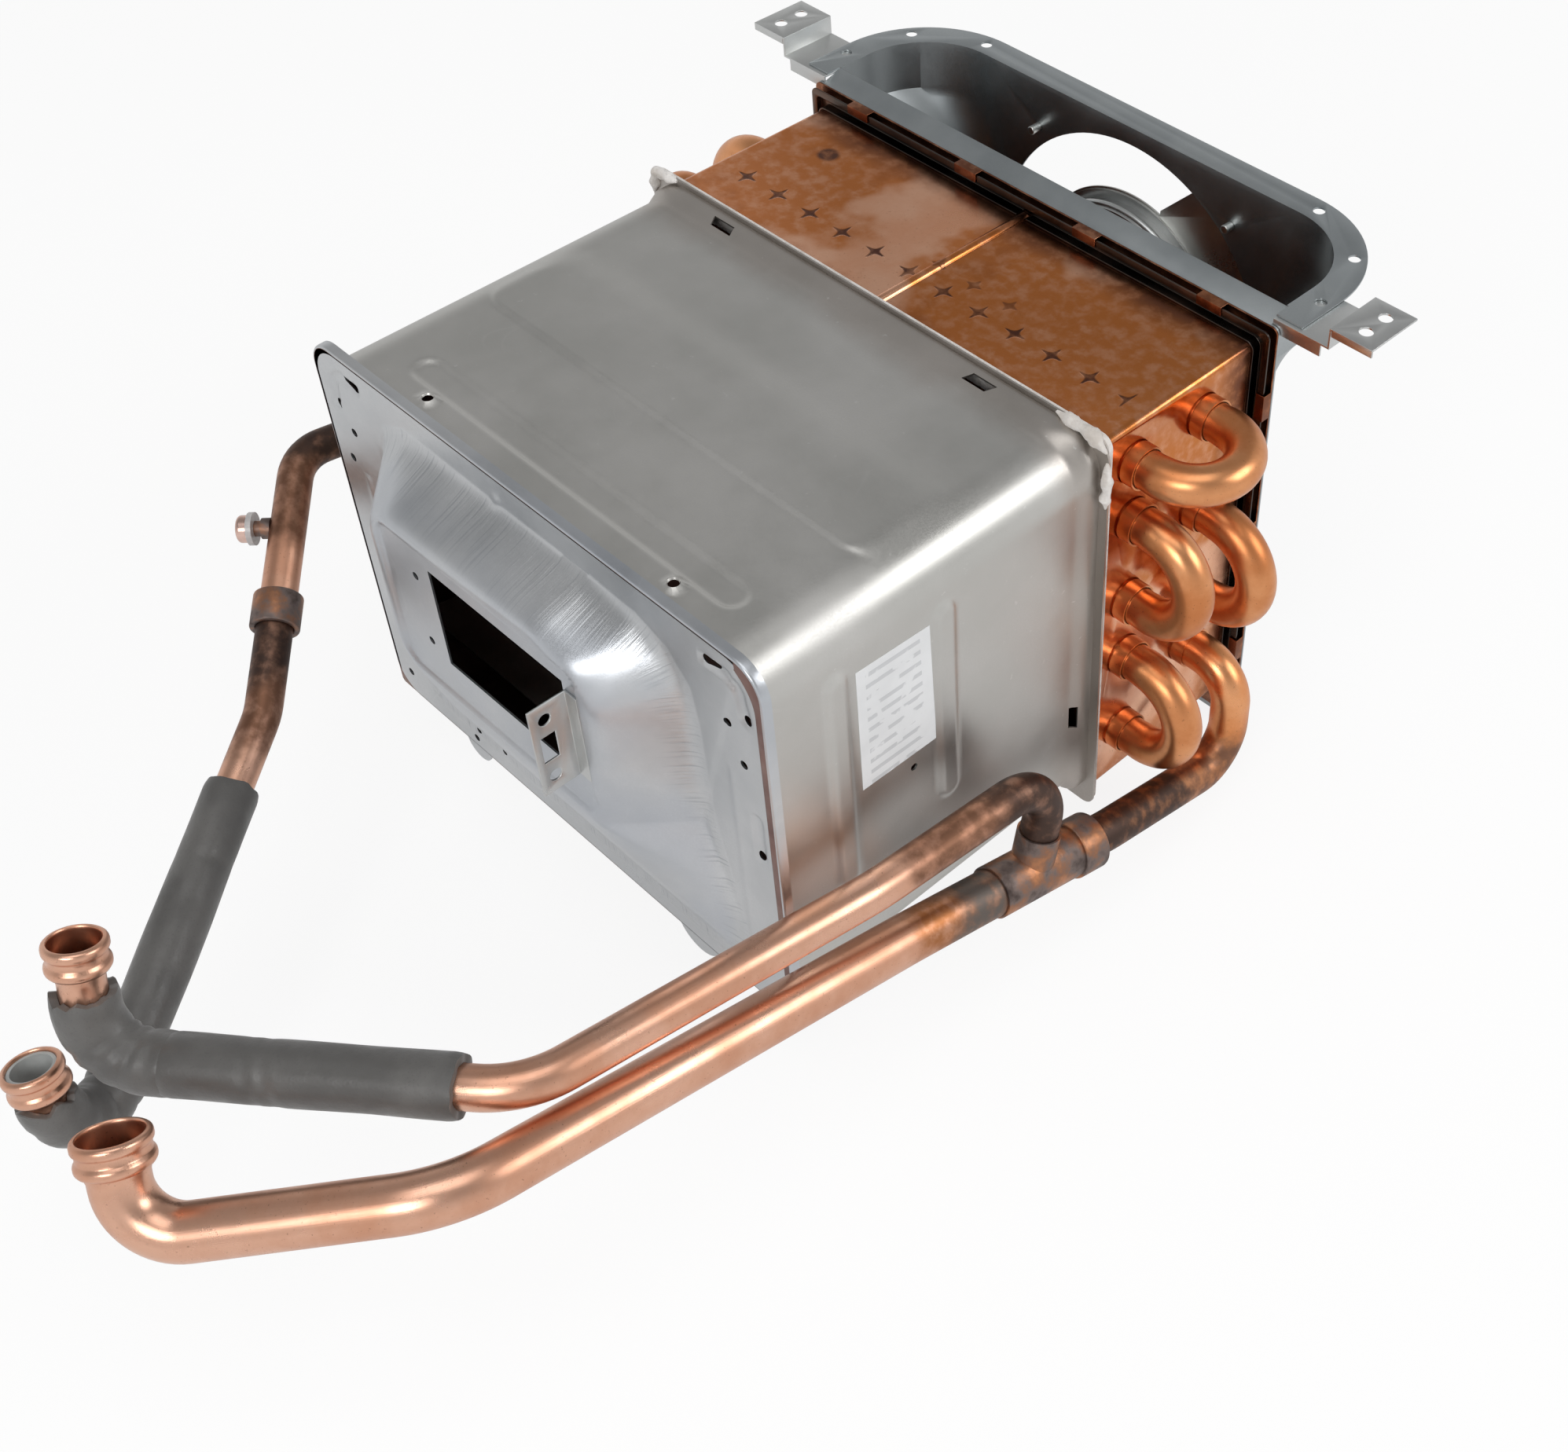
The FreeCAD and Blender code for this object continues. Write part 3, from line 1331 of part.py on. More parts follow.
branch_turn = point("branch_turn")
branch_tip = point("branch_tip")
branch_front = run_start + point("branch_front")
ended_pipe("branch_pipe",
           [branch_start, tee_centre + tee_up * size("branch_rise"),
            run_start + point("branch_mid"), branch_front, branch_turn, branch_tip],
           [size("branch_bend_low"), size("branch_bend_mid"), size("branch_bend_front"),
            size("branch_bend_turn")],
           branch_r, size("small_mouth"))

# Outlet tube from the block down to the tee's socket
low_y, low_z = tube_places[8]
outlet_x = block_half + size("outlet_reach")
outlet_points = [V(seat_x, low_y, low_z), V(outlet_x, low_y, low_z),
                 V(outlet_x + size("outlet_lean"), low_y - size("outlet_shift"),
                   low_z - size("outlet_drop")),
                 tee_foot - run_dir * size("outlet_run"), tee_foot]
outlet_bend = size("outlet_bend")
keep(pipe("outlet_tube", outlet_points, [outlet_bend, outlet_bend, size("outlet_bend_end")],
          tube_r, tube_r - tube_wall))
collar_length = size("collar_length")
keep(tube("socket_collar", main_r + size("collar_wall"), tube_r + gap, collar_length,
          tee_foot - run_dir * collar_length, run_dir))

# Pipe on the left side, in two lengths joined by a brazed collar
side_bend = point("side_bend")
side_low = point("side_low")
side_dir = (side_low - side_bend).normalize()
side_joint = side_bend + side_dir * size("side_joint_run")
rear_y, rear_z = tube_places[7]
upper_start = V(-seat_x, rear_y, rear_z)
upper = pipe("side_upper_run",
             [upper_start, V(-block_half - size("side_reach"), rear_y, rear_z), side_bend,
              side_joint],
             [size("side_bend_block"), size("side_bend_front")], side_r, side_r - wall)
swage_length = size("bend_stub")
swage = cut("side_swage",
            cylinder("side_swage_outside", tube_r, swage_length, upper_start, -X_AXIS),
            cylinder("side_swage_bore", side_r - wall, swage_length, upper_start, -X_AXIS))
stub_centre = side_bend + side_dir * size("stub_run")
outward = V(-1, -1, 0)
stub_axis = (outward - side_dir * outward.dot(side_dir)).normalize()
stub_r = size("stub_radius")
keep(cut("side_pipe_upper", fuse("side_upper_swaged", upper, swage),
         cylinder("stub_hole", stub_r + gap, side_r + 5, stub_centre, stub_axis)))

joint_back = size("joint_back")
keep(tube("brazed_collar", side_r + size("joint_wall"), side_r + gap,
          joint_back + size("joint_ahead"), side_joint - side_dir * joint_back, side_dir))

side_turn = point("side_turn")
side_tip = point("side_tip")
ended_pipe("side_pipe_lower", [side_joint, side_low, side_turn, side_tip],
           [size("side_bend_low"), size("side_bend_turn")], side_r, size("small_mouth"))

side_axis = (side_tip - side_turn).normalize()
liner_length = size("liner_length")
liner_r = size("small_mouth") / 2 - size("mouth_thick") - gap
keep(tube("pipe_liner", liner_r, liner_r - size("liner_wall"), liner_length,
          side_tip - side_axis * (size("liner_inset") + liner_length), side_axis))

# Sensor stub on the left pipe, with its cap and clip
base_reach = side_r - wall + 2 * gap
stub_base = stub_centre + stub_axis * base_reach
stub_tip = stub_centre + stub_axis * (side_r + size("stub_reach"))
keep(cut("sensor_stub",
         fuse("stub_body",
              cylinder("stub_wall", stub_r, side_r + size("stub_reach") - base_reach, stub_base,
                       stub_axis),
              cylinder("stub_flange", size("stub_base"),
                       side_r + size("stub_base_height") - base_reach, stub_base, stub_axis)),
         cylinder("stub_saddle", side_r + gap / 2, 40, stub_centre - side_dir * 20, side_dir)))
cap = keep(body("stub_cap"))
outline = sketch_on(cap, "XY_Plane", 0, "cap_outline")
draw_circle(outline, 0, 0, size("cap_radius"))
disc = pad(outline, size("cap_height"), "cap_disc")
doc.recompute()
crown = [i for i, e in enumerate(disc.Shape.Edges) if e.BoundBox.ZMin > size("cap_height") - 0.01]
rounding = cap.newObject("PartDesign::Fillet", "cap_rounding")
rounding.Base = (disc, ["Edge%d" % (i + 1) for i in crown])
bind(rounding, "Radius", size("cap_round"))
cap.Placement = FreeCAD.Placement(stub_tip + stub_axis * gap, facing(stub_axis))
clip_height = size("clip_height")
keep(tube("cap_ring", size("clip_radius"), stub_r + gap, clip_height,
          stub_tip - stub_axis * clip_height, stub_axis))


def sleeve(label, points, radii, pipe_r):
    """Foam tube round a pipe."""
    inner_r = pipe_r + size("sleeve_gap")
    keep(pipe(label, points, radii, inner_r + size("sleeve_wall"), inner_r))


def along(a, b, distance):
    """Point on the line from a towards b."""
    return a + (b - a).normalize() * distance


lap = size("wrap_lap")
ahead = size("branch_sleeve_ahead")
sleeve("branch_sleeve", [along(branch_front, branch_turn, size("branch_sleeve_back")),
                         along(branch_turn, branch_front, ahead)], [], branch_r)
sleeve("branch_elbow_wrap", [along(branch_turn, branch_front, ahead - lap), branch_turn,
                             along(branch_turn, branch_tip, size("branch_wrap_ahead"))],
       [size("branch_bend_turn")], branch_r)
ahead = size("side_sleeve_ahead")
sleeve("side_sleeve", [along(side_low, side_turn, size("side_sleeve_back")),
                       along(side_turn, side_low, ahead)], [], side_r)
sleeve("side_elbow_wrap", [along(side_turn, side_low, ahead - lap), side_turn,
                           along(side_turn, side_tip, size("side_wrap_ahead"))],
       [size("side_bend_turn")], side_r)

# Check every sub-part and write its file
doc.recompute()
failed = [o.Label for o in doc.Objects if "Invalid" in o.State or "Error" in o.State]
if failed:
    raise ValueError("not built: " + ", ".join(failed))
os.makedirs("parts", exist_ok=True)
for part in parts:
    shape = part.Shape
    if shape.isNull() or not shape.isValid() or not shape.Solids:
        raise ValueError(part.Label + " has no valid solid")
    shape.exportStep("parts/" + part.Label + ".step")
    print(part.Label, len(shape.Solids), round(shape.Volume), shape.BoundBox)
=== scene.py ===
import math

import bmesh
import bpy
import numpy as np
from mathutils import Matrix, Vector, noise


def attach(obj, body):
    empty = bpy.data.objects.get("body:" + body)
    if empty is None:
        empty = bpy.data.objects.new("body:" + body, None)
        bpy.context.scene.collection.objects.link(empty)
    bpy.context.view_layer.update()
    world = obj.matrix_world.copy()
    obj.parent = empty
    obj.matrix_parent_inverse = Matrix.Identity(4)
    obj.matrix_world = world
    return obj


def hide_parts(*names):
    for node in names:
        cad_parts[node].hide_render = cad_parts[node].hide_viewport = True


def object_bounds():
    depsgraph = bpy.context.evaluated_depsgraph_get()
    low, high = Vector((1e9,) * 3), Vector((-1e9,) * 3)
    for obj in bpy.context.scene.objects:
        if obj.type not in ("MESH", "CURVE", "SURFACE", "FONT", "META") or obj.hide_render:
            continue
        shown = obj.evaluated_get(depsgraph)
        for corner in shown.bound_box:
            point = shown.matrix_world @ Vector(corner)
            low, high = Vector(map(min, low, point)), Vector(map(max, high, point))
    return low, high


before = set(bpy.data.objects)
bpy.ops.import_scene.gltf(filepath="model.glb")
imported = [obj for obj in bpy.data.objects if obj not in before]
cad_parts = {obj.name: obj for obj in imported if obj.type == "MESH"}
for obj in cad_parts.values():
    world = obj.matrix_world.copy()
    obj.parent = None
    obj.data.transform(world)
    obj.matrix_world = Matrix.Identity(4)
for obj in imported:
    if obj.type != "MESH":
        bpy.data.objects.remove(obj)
cad_low, cad_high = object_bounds()

MM = 0.001

# Sizes shared with the part's source, in millimetres

STEEL = 0.8
GASKET_FRONT = -151.1
FLARE_FRONT = -167.1
CHAMBER_FRONT = -310.4
COVER_FACE = -312.0
COVER_BOTTOM, COVER_TOP = -104.5, 76.5
CHAMBER_BOTTOM, CHAMBER_TOP = -102.5, 73.5
FRAME_TOP = 76.5
BLOCK_HALF = 118.5
COVER_HALF = 125.0
RUN_X = 138.0
FRONT_ROW, REAR_ROW = -130.1, -92.1
TUBE_PLACES = [(FRONT_ROW, z) for z in (50.5, 23.5, -17.5, -47.5, -89)]
TUBE_PLACES += [(REAR_ROW, z) for z in (50.5, 5.5, -36.5, -67.5)]
TUBE_RADIUS, TUBE_BORE = 8.0, 7.3
MAIN_RADIUS, BRANCH_RADIUS, SIDE_RADIUS = 9.5, 7.5, 7.0
WALL = 0.9


# Node helpers


def tree_of(owner):
    """Empty node tree of a material or a world."""
    owner.use_nodes = True
    owner.node_tree.nodes.clear()
    return owner.node_tree


def add(tree, kind, inputs=None, **settings):
    """One node, its settings and its plain or linked inputs."""
    node = tree.nodes.new(kind)
    for key, value in settings.items():
        setattr(node, key, value)
    for key, value in (inputs or {}).items():
        socket = node.inputs[key]
        if isinstance(value, bpy.types.NodeSocket):
            tree.links.new(value, socket)
        else:
            socket.default_value = value
    return node


def grey(value):
    return (value, value, value, 1)


def math_node(tree, operation, a, b=0.0, clamp=False):
    return add(tree, "ShaderNodeMath", {0: a, 1: b}, operation=operation,
               use_clamp=clamp).outputs[0]


def times(tree, a, b):
    return math_node(tree, "MULTIPLY", a, b)


def plus(tree, a, b):
    return math_node(tree, "ADD", a, b)


def minus(tree, a, b):
    return math_node(tree, "SUBTRACT", a, b)


def mixed(tree, factor, a, b):
    return add(tree, "ShaderNodeMix", {0: factor, 6: a, 7: b}, data_type="RGBA").outputs[2]


def ranged(tree, value, low, high, to_low=0.0, to_high=1.0, smooth=True):
    limits = {"From Min": low, "From Max": high, "To Min": to_low, "To Max": to_high}
    return add(tree, "ShaderNodeMapRange", {"Value": value, **limits},
               interpolation_type="SMOOTHSTEP" if smooth else "LINEAR").outputs["Result"]


def ramp(tree, value, stops):
    node = add(tree, "ShaderNodeValToRGB", {"Fac": value})
    band = node.color_ramp
    while len(band.elements) < len(stops):
        band.elements.new(0.5)
    for element, (place, colour) in zip(band.elements, stops):
        element.position = place
        element.color = colour
    return node.outputs["Color"]


def new_group(name, inputs, outputs):
    """A shader node group with a Vector, more inputs by name and float outputs."""
    group = bpy.data.node_groups.new(name, "ShaderNodeTree")
    add_socket = group.interface.new_socket
    add_socket("Vector", in_out="INPUT", socket_type="NodeSocketVector")
    for label, value in inputs.items():
        kind = "NodeSocketVector" if isinstance(value, tuple) else "NodeSocketFloat"
        add_socket(label, in_out="INPUT", socket_type=kind).default_value = value
    for label in outputs:
        add_socket(label, in_out="OUTPUT", socket_type="NodeSocketFloat")
    return group, group.nodes.new("NodeGroupInput"), group.nodes.new("NodeGroupOutput")


def placed(tree, group, inputs):
    return add(tree, "ShaderNodeGroup", inputs, node_tree=group)


# Shared surface effects


def make_metal_grain():
    """Mottle, fine speckle and rolling streaks of bare sheet or tube."""
    group, inside, out = new_group(
        "metal_grain", {"Mottle Scale": 40, "Speckle Scale": 900, "Streak": (1, 1, 12)},
        ["Mottle", "Speckle", "Streaks"])
    place = inside.outputs["Vector"]
    mottle = add(group, "ShaderNodeTexNoise",
                 {"Vector": place, "Scale": inside.outputs["Mottle Scale"], "Detail": 5,
                  "Roughness": 0.6})
    speckle = add(group, "ShaderNodeTexNoise", {"Vector": place, "Detail": 2,
                                                "Scale": inside.outputs["Speckle Scale"]})
    drawn = add(group, "ShaderNodeVectorMath", {0: place, 1: inside.outputs["Streak"]},
                operation="MULTIPLY")
    streaks = add(group, "ShaderNodeTexNoise", {"Vector": drawn.outputs[0], "Scale": 60,
                                                "Detail": 4})
    for label, node in (("Mottle", mottle), ("Speckle", speckle), ("Streaks", streaks)):
        group.links.new(node.outputs["Fac"], out.inputs[label])
    return group


def make_scuffs():
    """Thin scattered scratches as a mask."""
    group, inside, out = new_group("scuffs", {"Scale": 30, "Amount": 0.5}, ["Mask"])
    bend = add(group, "ShaderNodeTexNoise", {"Vector": inside.outputs["Vector"], "Scale": 9})
    shifted = add(group, "ShaderNodeVectorMath",
                  {0: inside.outputs["Vector"], 1: bend.outputs["Color"], 2: (0.02, 0.02, 0.02)},
                  operation="MULTIPLY_ADD")
    cells = add(group, "ShaderNodeTexVoronoi", {"Vector": shifted.outputs[0],
                                                "Scale": inside.outputs["Scale"]},
                feature="DISTANCE_TO_EDGE")
    line = ranged(group, cells.outputs["Distance"], 0.0, 0.012, 1.0, 0.0)
    patches = add(group, "ShaderNodeTexNoise", {"Vector": inside.outputs["Vector"], "Scale": 25})
    kept = ranged(group, patches.outputs["Fac"], 0.5, 0.7)
    both = times(group, line, kept)
    group.links.new(times(group, both, inside.outputs["Amount"]), out.inputs["Mask"])
    return group


def make_bloom():
    """Cloudy heat stain around one place, in metres."""
    group, inside, out = new_group(
        "heat_bloom", {"Centre": (0, 0, 0), "Reach": 0.05, "Softness": 0.02, "Cloud": 0.03},
        ["Mask"])
    away = add(group, "ShaderNodeVectorMath",
               {0: inside.outputs["Vector"], 1: inside.outputs["Centre"]}, operation="DISTANCE")
    cloud = add(group, "ShaderNodeTexNoise", {"Vector": inside.outputs["Vector"], "Scale": 45,
                                              "Detail": 5})
    wander = times(group, minus(group, cloud.outputs["Fac"], 0.5), inside.outputs["Cloud"])
    blurred = plus(group, away.outputs["Value"], wander)
    end = plus(group, inside.outputs["Reach"], inside.outputs["Softness"])
    mask = ranged(group, blurred, inside.outputs["Reach"], end, 1.0, 0.0)
    group.links.new(mask, out.inputs["Mask"])
    return group


METAL_GRAIN = make_metal_grain()
SCUFFS = make_scuffs()
HEAT_BLOOM = make_bloom()


class Finish:
    """A material under way: its tree, Object coordinates and Principled shader."""

    def __init__(self, name, metallic=1.0, roughness=0.4, **plain):
        self.material = bpy.data.materials.new(name)
        self.tree = tree_of(self.material)
        self.out = self.tree.nodes.new("ShaderNodeOutputMaterial")
        self.shader = add(self.tree, "ShaderNodeBsdfPrincipled",
                          {"Metallic": metallic, "Roughness": roughness, **plain})
        self.tree.links.new(self.shader.outputs["BSDF"], self.out.inputs["Surface"])
        self.place = add(self.tree, "ShaderNodeTexCoord").outputs["Object"]

    def split(self, socket):
        return add(self.tree, "ShaderNodeSeparateXYZ", {"Vector": socket}).outputs

    def noise(self, scale, detail=4, vector=None, roughness=0.55):
        return add(self.tree, "ShaderNodeTexNoise",
                   {"Vector": vector or self.place, "Scale": scale, "Detail": detail,
                    "Roughness": roughness}).outputs["Fac"]

    def set(self, **sockets):
        for name, value in sockets.items():
            self.tree.links.new(value, self.shader.inputs[name.replace("_", " ")])

    def bump(self, height, strength=0.2, distance=0.0005):
        before = self.shader.inputs["Normal"]
        settings = {"Height": height, "Strength": strength, "Distance": distance}
        if before.is_linked:
            settings["Normal"] = before.links[0].from_socket
        node = add(self.tree, "ShaderNodeBump", settings)
        self.tree.links.new(node.outputs["Normal"], before)

    def bloom(self, centre, reach, softness, cloud=0.03):
        return placed(self.tree, HEAT_BLOOM, {
            "Vector": self.place, "Centre": [c * MM for c in centre], "Reach": reach * MM,
            "Softness": softness * MM, "Cloud": cloud}).outputs["Mask"]


def sheet_metal(name, tone, dark, light, roughness=0.36, streak=(1, 1, 1)):
    """Zinc-coated sheet: mottled tone, fine grain, a few scuffs."""
    finish = Finish(name, roughness=roughness)
    tree = finish.tree
    grain = placed(tree, METAL_GRAIN, {"Vector": finish.place, "Mottle Scale": 14,
                                       "Speckle Scale": 1300, "Streak": streak})
    shade = ranged(tree, grain.outputs["Mottle"], 0.3, 0.7)
    base = mixed(tree, shade, dark, light)
    fine = ranged(tree, grain.outputs["Speckle"], 0.3, 0.7)
    base = mixed(tree, times(tree, fine, 0.35), base, tone)
    scuffs = placed(tree, SCUFFS, {"Vector": finish.place, "Scale": 18, "Amount": 0.35})
    base = mixed(tree, scuffs.outputs["Mask"], base, light)
    gloss = ranged(tree, grain.outputs["Mottle"], 0.25, 0.75, roughness - 0.06, roughness + 0.07)
    gloss = plus(tree, gloss, times(tree, fine, 0.05))
    finish.set(Base_Color=base, Roughness=gloss)
    finish.bump(grain.outputs["Speckle"], 0.12, 0.00012)
    finish.bump(grain.outputs["Streaks"], 0.05, 0.0003)
    return finish


def copper_metal(name, bright, deep, roughness=0.24, streak=(1, 1, 1)):
    """Bare copper: rosy and deeper patches, faint draw lines, small dark specks."""
    finish = Finish(name, roughness=roughness)
    tree = finish.tree
    grain = placed(tree, METAL_GRAIN, {"Vector": finish.place, "Mottle Scale": 30,
                                       "Speckle Scale": 1100, "Streak": streak})
    base = mixed(tree, ranged(tree, grain.outputs["Mottle"], 0.32, 0.68), deep, bright)
    specks = ranged(tree, grain.outputs["Speckle"], 0.66, 0.76)
    base = mixed(tree, times(tree, specks, 0.45), base, (0.16, 0.06, 0.03, 1))
    gloss = ranged(tree, grain.outputs["Mottle"], 0.3, 0.7, roughness + 0.08, roughness - 0.04)
    finish.set(Base_Color=base, Roughness=gloss)
    finish.bump(grain.outputs["Streaks"], 0.06, 0.0003)
    finish.bump(grain.outputs["Speckle"], 0.06, 0.0001)
    finish.base = base
    finish.gloss = gloss
    return finish


def stained(finish, masks, colour, rough):
    """Adds burnt patches over a copper finish where the masks are."""
    tree = finish.tree
    base, gloss = finish.base, finish.gloss
    total = masks[0]
    for mask in masks[1:]:
        total = math_node(tree, "MAXIMUM", total, mask)
    mottle = finish.noise(160, 5)
    broken = times(tree, total, ranged(tree, mottle, 0.3, 0.6, 0.55, 1.0))
    base = mixed(tree, broken, base, colour)
    gloss = add(tree, "ShaderNodeMix", {0: broken, 2: gloss, 3: rough},
                data_type="FLOAT").outputs[0]
    finish.set(Base_Color=base, Roughness=gloss)
    finish.base, finish.gloss = base, gloss


# Finishes


def make_chamber_steel():
    """Chamber sheet: even warm grey with rolled lines, rusty towards the rear flange."""
    finish = sheet_metal("chamber_steel", (0.57, 0.56, 0.535, 1), (0.53, 0.525, 0.50, 1),
                         (0.61, 0.60, 0.58, 1), 0.37, (1, 9, 1))
    tree = finish.tree
    y = finish.split(finish.place)["Y"]
    before = finish.shader.inputs["Base Color"].links[0].from_socket
    rear = ranged(tree, plus(tree, y, times(tree, finish.noise(30), 0.02)), -0.168, -0.150)
    base = mixed(tree, times(tree, rear, 0.35), before, (0.30, 0.22, 0.17, 1))
    spots = ranged(tree, finish.noise(330, 2), 0.70, 0.78, 0.0, 0.5)
    base = mixed(tree, spots, base, (0.70, 0.69, 0.67, 1))
    finish.set(Base_Color=base)
    return finish.material


def make_cover_steel():
    """Burner cover: cooler and brighter, with short press strokes climbing from the foot line and
    a painted blue-grey reflection in cloudy patches over the dome.
    """
    finish = sheet_metal("cover_steel", (0.60, 0.61, 0.62, 1), (0.52, 0.535, 0.55, 1),
                         (0.68, 0.69, 0.70, 1), 0.33)
    tree = finish.tree
    flat = finish.split(add(tree, "ShaderNodeUVMap", uv_map="Surface").outputs["UV"])
    along, inside = flat["X"], flat["Y"]
    spot = add(tree, "ShaderNodeCombineXYZ",
               {"X": times(tree, along, 90.0), "Y": times(tree, inside, 5.0)})
    strokes = finish.noise(1.0, 3, spot.outputs[0])
    near = times(tree, ranged(tree, inside, -0.02, 0.0),
                 ranged(tree, inside, 0.03, 0.13, 1.0, 0.0))
    mask = times(tree, ranged(tree, strokes, 0.52, 0.68), near)
    before = finish.shader.inputs["Base Color"].links[0].from_socket
    base = mixed(tree, times(tree, mask, 0.45), before, (0.30, 0.32, 0.35, 1))
    # Painted blue-grey reflection: cloudy patches over the dome, starting a little inside the foot
    # line.
    painted_reflection = times(tree, ranged(tree, inside, 0.02, 0.10),
                 ranged(tree, finish.noise(12, 3), 0.35, 0.7))
    base = mixed(tree, times(tree, painted_reflection, 0.35), base, (0.42, 0.47, 0.56, 1))
    finish.set(Base_Color=base)
    finish.bump(times(tree, strokes, near), 0.35, 0.0006)
    return finish.material


def make_burnt_steel():
    """Inside of the pressed sheets, baked dark brown."""
    finish = Finish("burnt_steel", metallic=0.35, roughness=0.5)
    tree = finish.tree
    cloud = finish.noise(26, 5)
    base = ramp(tree, cloud, [(0.3, (0.12, 0.06, 0.055, 1)), (0.55, (0.22, 0.12, 0.10, 1)),
                              (0.75, (0.34, 0.24, 0.20, 1))])
    finish.set(Base_Color=base, Roughness=ranged(tree, finish.noise(80), 0.3, 0.7, 0.4, 0.62))
    finish.bump(finish.noise(300, 3), 0.1, 0.0003)
    return finish.material


chamber_steel = make_chamber_steel()
cover_steel = make_cover_steel()
burnt_steel = make_burnt_steel()
hood_steel = sheet_metal("hood_steel", (0.40, 0.43, 0.44, 1), (0.34, 0.37, 0.385, 1),
                         (0.46, 0.49, 0.50, 1), 0.36).material
bracket_steel = sheet_metal("bracket_steel", (0.60, 0.61, 0.60, 1), (0.54, 0.55, 0.55, 1),
                            (0.68, 0.69, 0.68, 1), 0.30).material
screw_steel = sheet_metal("screw_plate", (0.66, 0.66, 0.64, 1), (0.55, 0.55, 0.52, 1),
                          (0.75, 0.75, 0.72, 1), 0.28).material
baffle_steel = sheet_metal("baffle_steel", (0.62, 0.60, 0.58, 1), (0.52, 0.50, 0.48, 1),
                           (0.70, 0.68, 0.66, 1), 0.5).material

bright_copper = copper_metal("bright_copper", (0.80, 0.37, 0.17, 1), (0.62, 0.23, 0.085, 1),
                             0.31).material


def make_star_presses():
    """Row of four-armed star marks along X, as a mask."""
    group, inside, out = new_group(
        "star_presses", {"Row": -0.123, "Start": -0.1, "End": 0.1, "Pitch": 0.0189, "Arm": 0.0058},
        ["Mask"])
    flat = add(group, "ShaderNodeSeparateXYZ", {"Vector": inside.outputs["Vector"]}).outputs
    x, y = flat["X"], flat["Y"]
    local = math_node(group, "PINGPONG", minus(group, x, inside.outputs["Start"]),
                      times(group, inside.outputs["Pitch"], 0.5))
    across = math_node(group, "ABSOLUTE", minus(group, y, inside.outputs["Row"]))
    thin_a = times(group, local, across)
    star = ranged(group, thin_a, 0.0000009, 0.0000028, 1.0, 0.0)
    far = plus(group, local, across)
    reach = ranged(group, far, times(group, inside.outputs["Arm"], 0.7), inside.outputs["Arm"],
                   1.0, 0.0)
    after = math_node(group, "GREATER_THAN", x, minus(group, inside.outputs["Start"], 0.008))
    before = math_node(group, "LESS_THAN", x, plus(group, inside.outputs["End"], 0.008))
    span = times(group, after, before)
    mask = times(group, times(group, star, reach), span)
    group.links.new(mask, out.inputs["Mask"])
    return group


STAR_PRESSES = make_star_presses()


def make_shell_copper():
    """Block shell: rosy copper, orange heat clouds, dark star presses and scorched edges."""
    finish = copper_metal("shell_copper", (0.88, 0.50, 0.33, 1), (0.78, 0.38, 0.22, 1), 0.2)
    tree = finish.tree
    spot = finish.split(finish.place)
    y, z = spot["Y"], spot["Z"]
    cloud = finish.noise(11, 4, roughness=0.5)
    fine = finish.noise(60, 4)
    edge = ranged(tree, cloud, 0.47, 0.53)
    stained(finish, [edge], (0.60, 0.20, 0.055, 1), 0.2)
    deep = ranged(tree, finish.noise(23, 5), 0.56, 0.68, 0.0, 0.6)
    stained(finish, [deep], (0.42, 0.13, 0.035, 1), 0.24)
    near_hood = ranged(tree, plus(tree, y, times(tree, cloud, 0.03)), -0.068, -0.052)
    stained(finish, [near_hood], (0.20, 0.075, 0.04, 1), 0.26)
    top = math_node(tree, "GREATER_THAN", z, 0.06)
    stars = placed(tree, STAR_PRESSES, {"Vector": finish.place}).outputs["Mask"]
    second = placed(tree, STAR_PRESSES, {"Vector": finish.place, "Row": -0.112, "Start": 0.0,
                                         "End": 0.036, "Arm": 0.0045}).outputs["Mask"]
    marks = math_node(tree, "MAXIMUM", stars, times(tree, second, 0.6))
    marks = times(tree, marks, top)
    stained(finish, [marks], (0.12, 0.045, 0.028, 1), 0.3)
    oval = finish.bloom((-89, -89, 68.5), 3.2, 2.5, 0.004)
    stained(finish, [oval], (0.14, 0.06, 0.04, 1), 0.3)
    near_front = ranged(tree, plus(tree, y, times(tree, fine, 0.02)), -0.142, -0.128, 0.7, 0.0)
    stained(finish, [near_front], (0.36, 0.12, 0.045, 1), 0.28)
    finish.bump(marks, 0.4, -0.0004)
    finish.bump(cloud, 0.15, 0.002)
    return finish.material


shell_copper = make_shell_copper()


def make_pipe_copper(name, stains, bright=(0.78, 0.46, 0.33, 1), deep=(0.66, 0.34, 0.22, 1)):
    """Tube copper stained along its surface map; stains are (from, to, colour, roughness)."""
    finish = copper_metal(name, bright, deep, 0.29)
    tree = finish.tree
    surface = add(tree, "ShaderNodeUVMap", uv_map="Surface").outputs["UV"]
    along = finish.split(surface)["X"]
    wander = times(tree, minus(tree, finish.noise(55, 5), 0.5), 0.34)
    along = plus(tree, along, wander)
    for start, end, colour, rough in stains:
        rise = ranged(tree, along, (start - 7) / 100, (start + 7) / 100)
        fall = ranged(tree, along, (end - 7) / 100, (end + 7) / 100, 1.0, 0.0)
        stained(finish, [times(tree, rise, fall)], colour, rough)
    lines = add(tree, "ShaderNodeVectorMath", {0: surface, 1: (1.2, 60, 1)}, operation="MULTIPLY")
    finish.bump(finish.noise(3, 3, lines.outputs[0]), 0.14, 0.0003)
    return finish.material


BURNT = (0.085, 0.055, 0.045, 1)
BROWN = (0.24, 0.12, 0.075, 1)
ASH = (0.17, 0.145, 0.13, 1)
RUST = (0.42, 0.17, 0.07, 1)


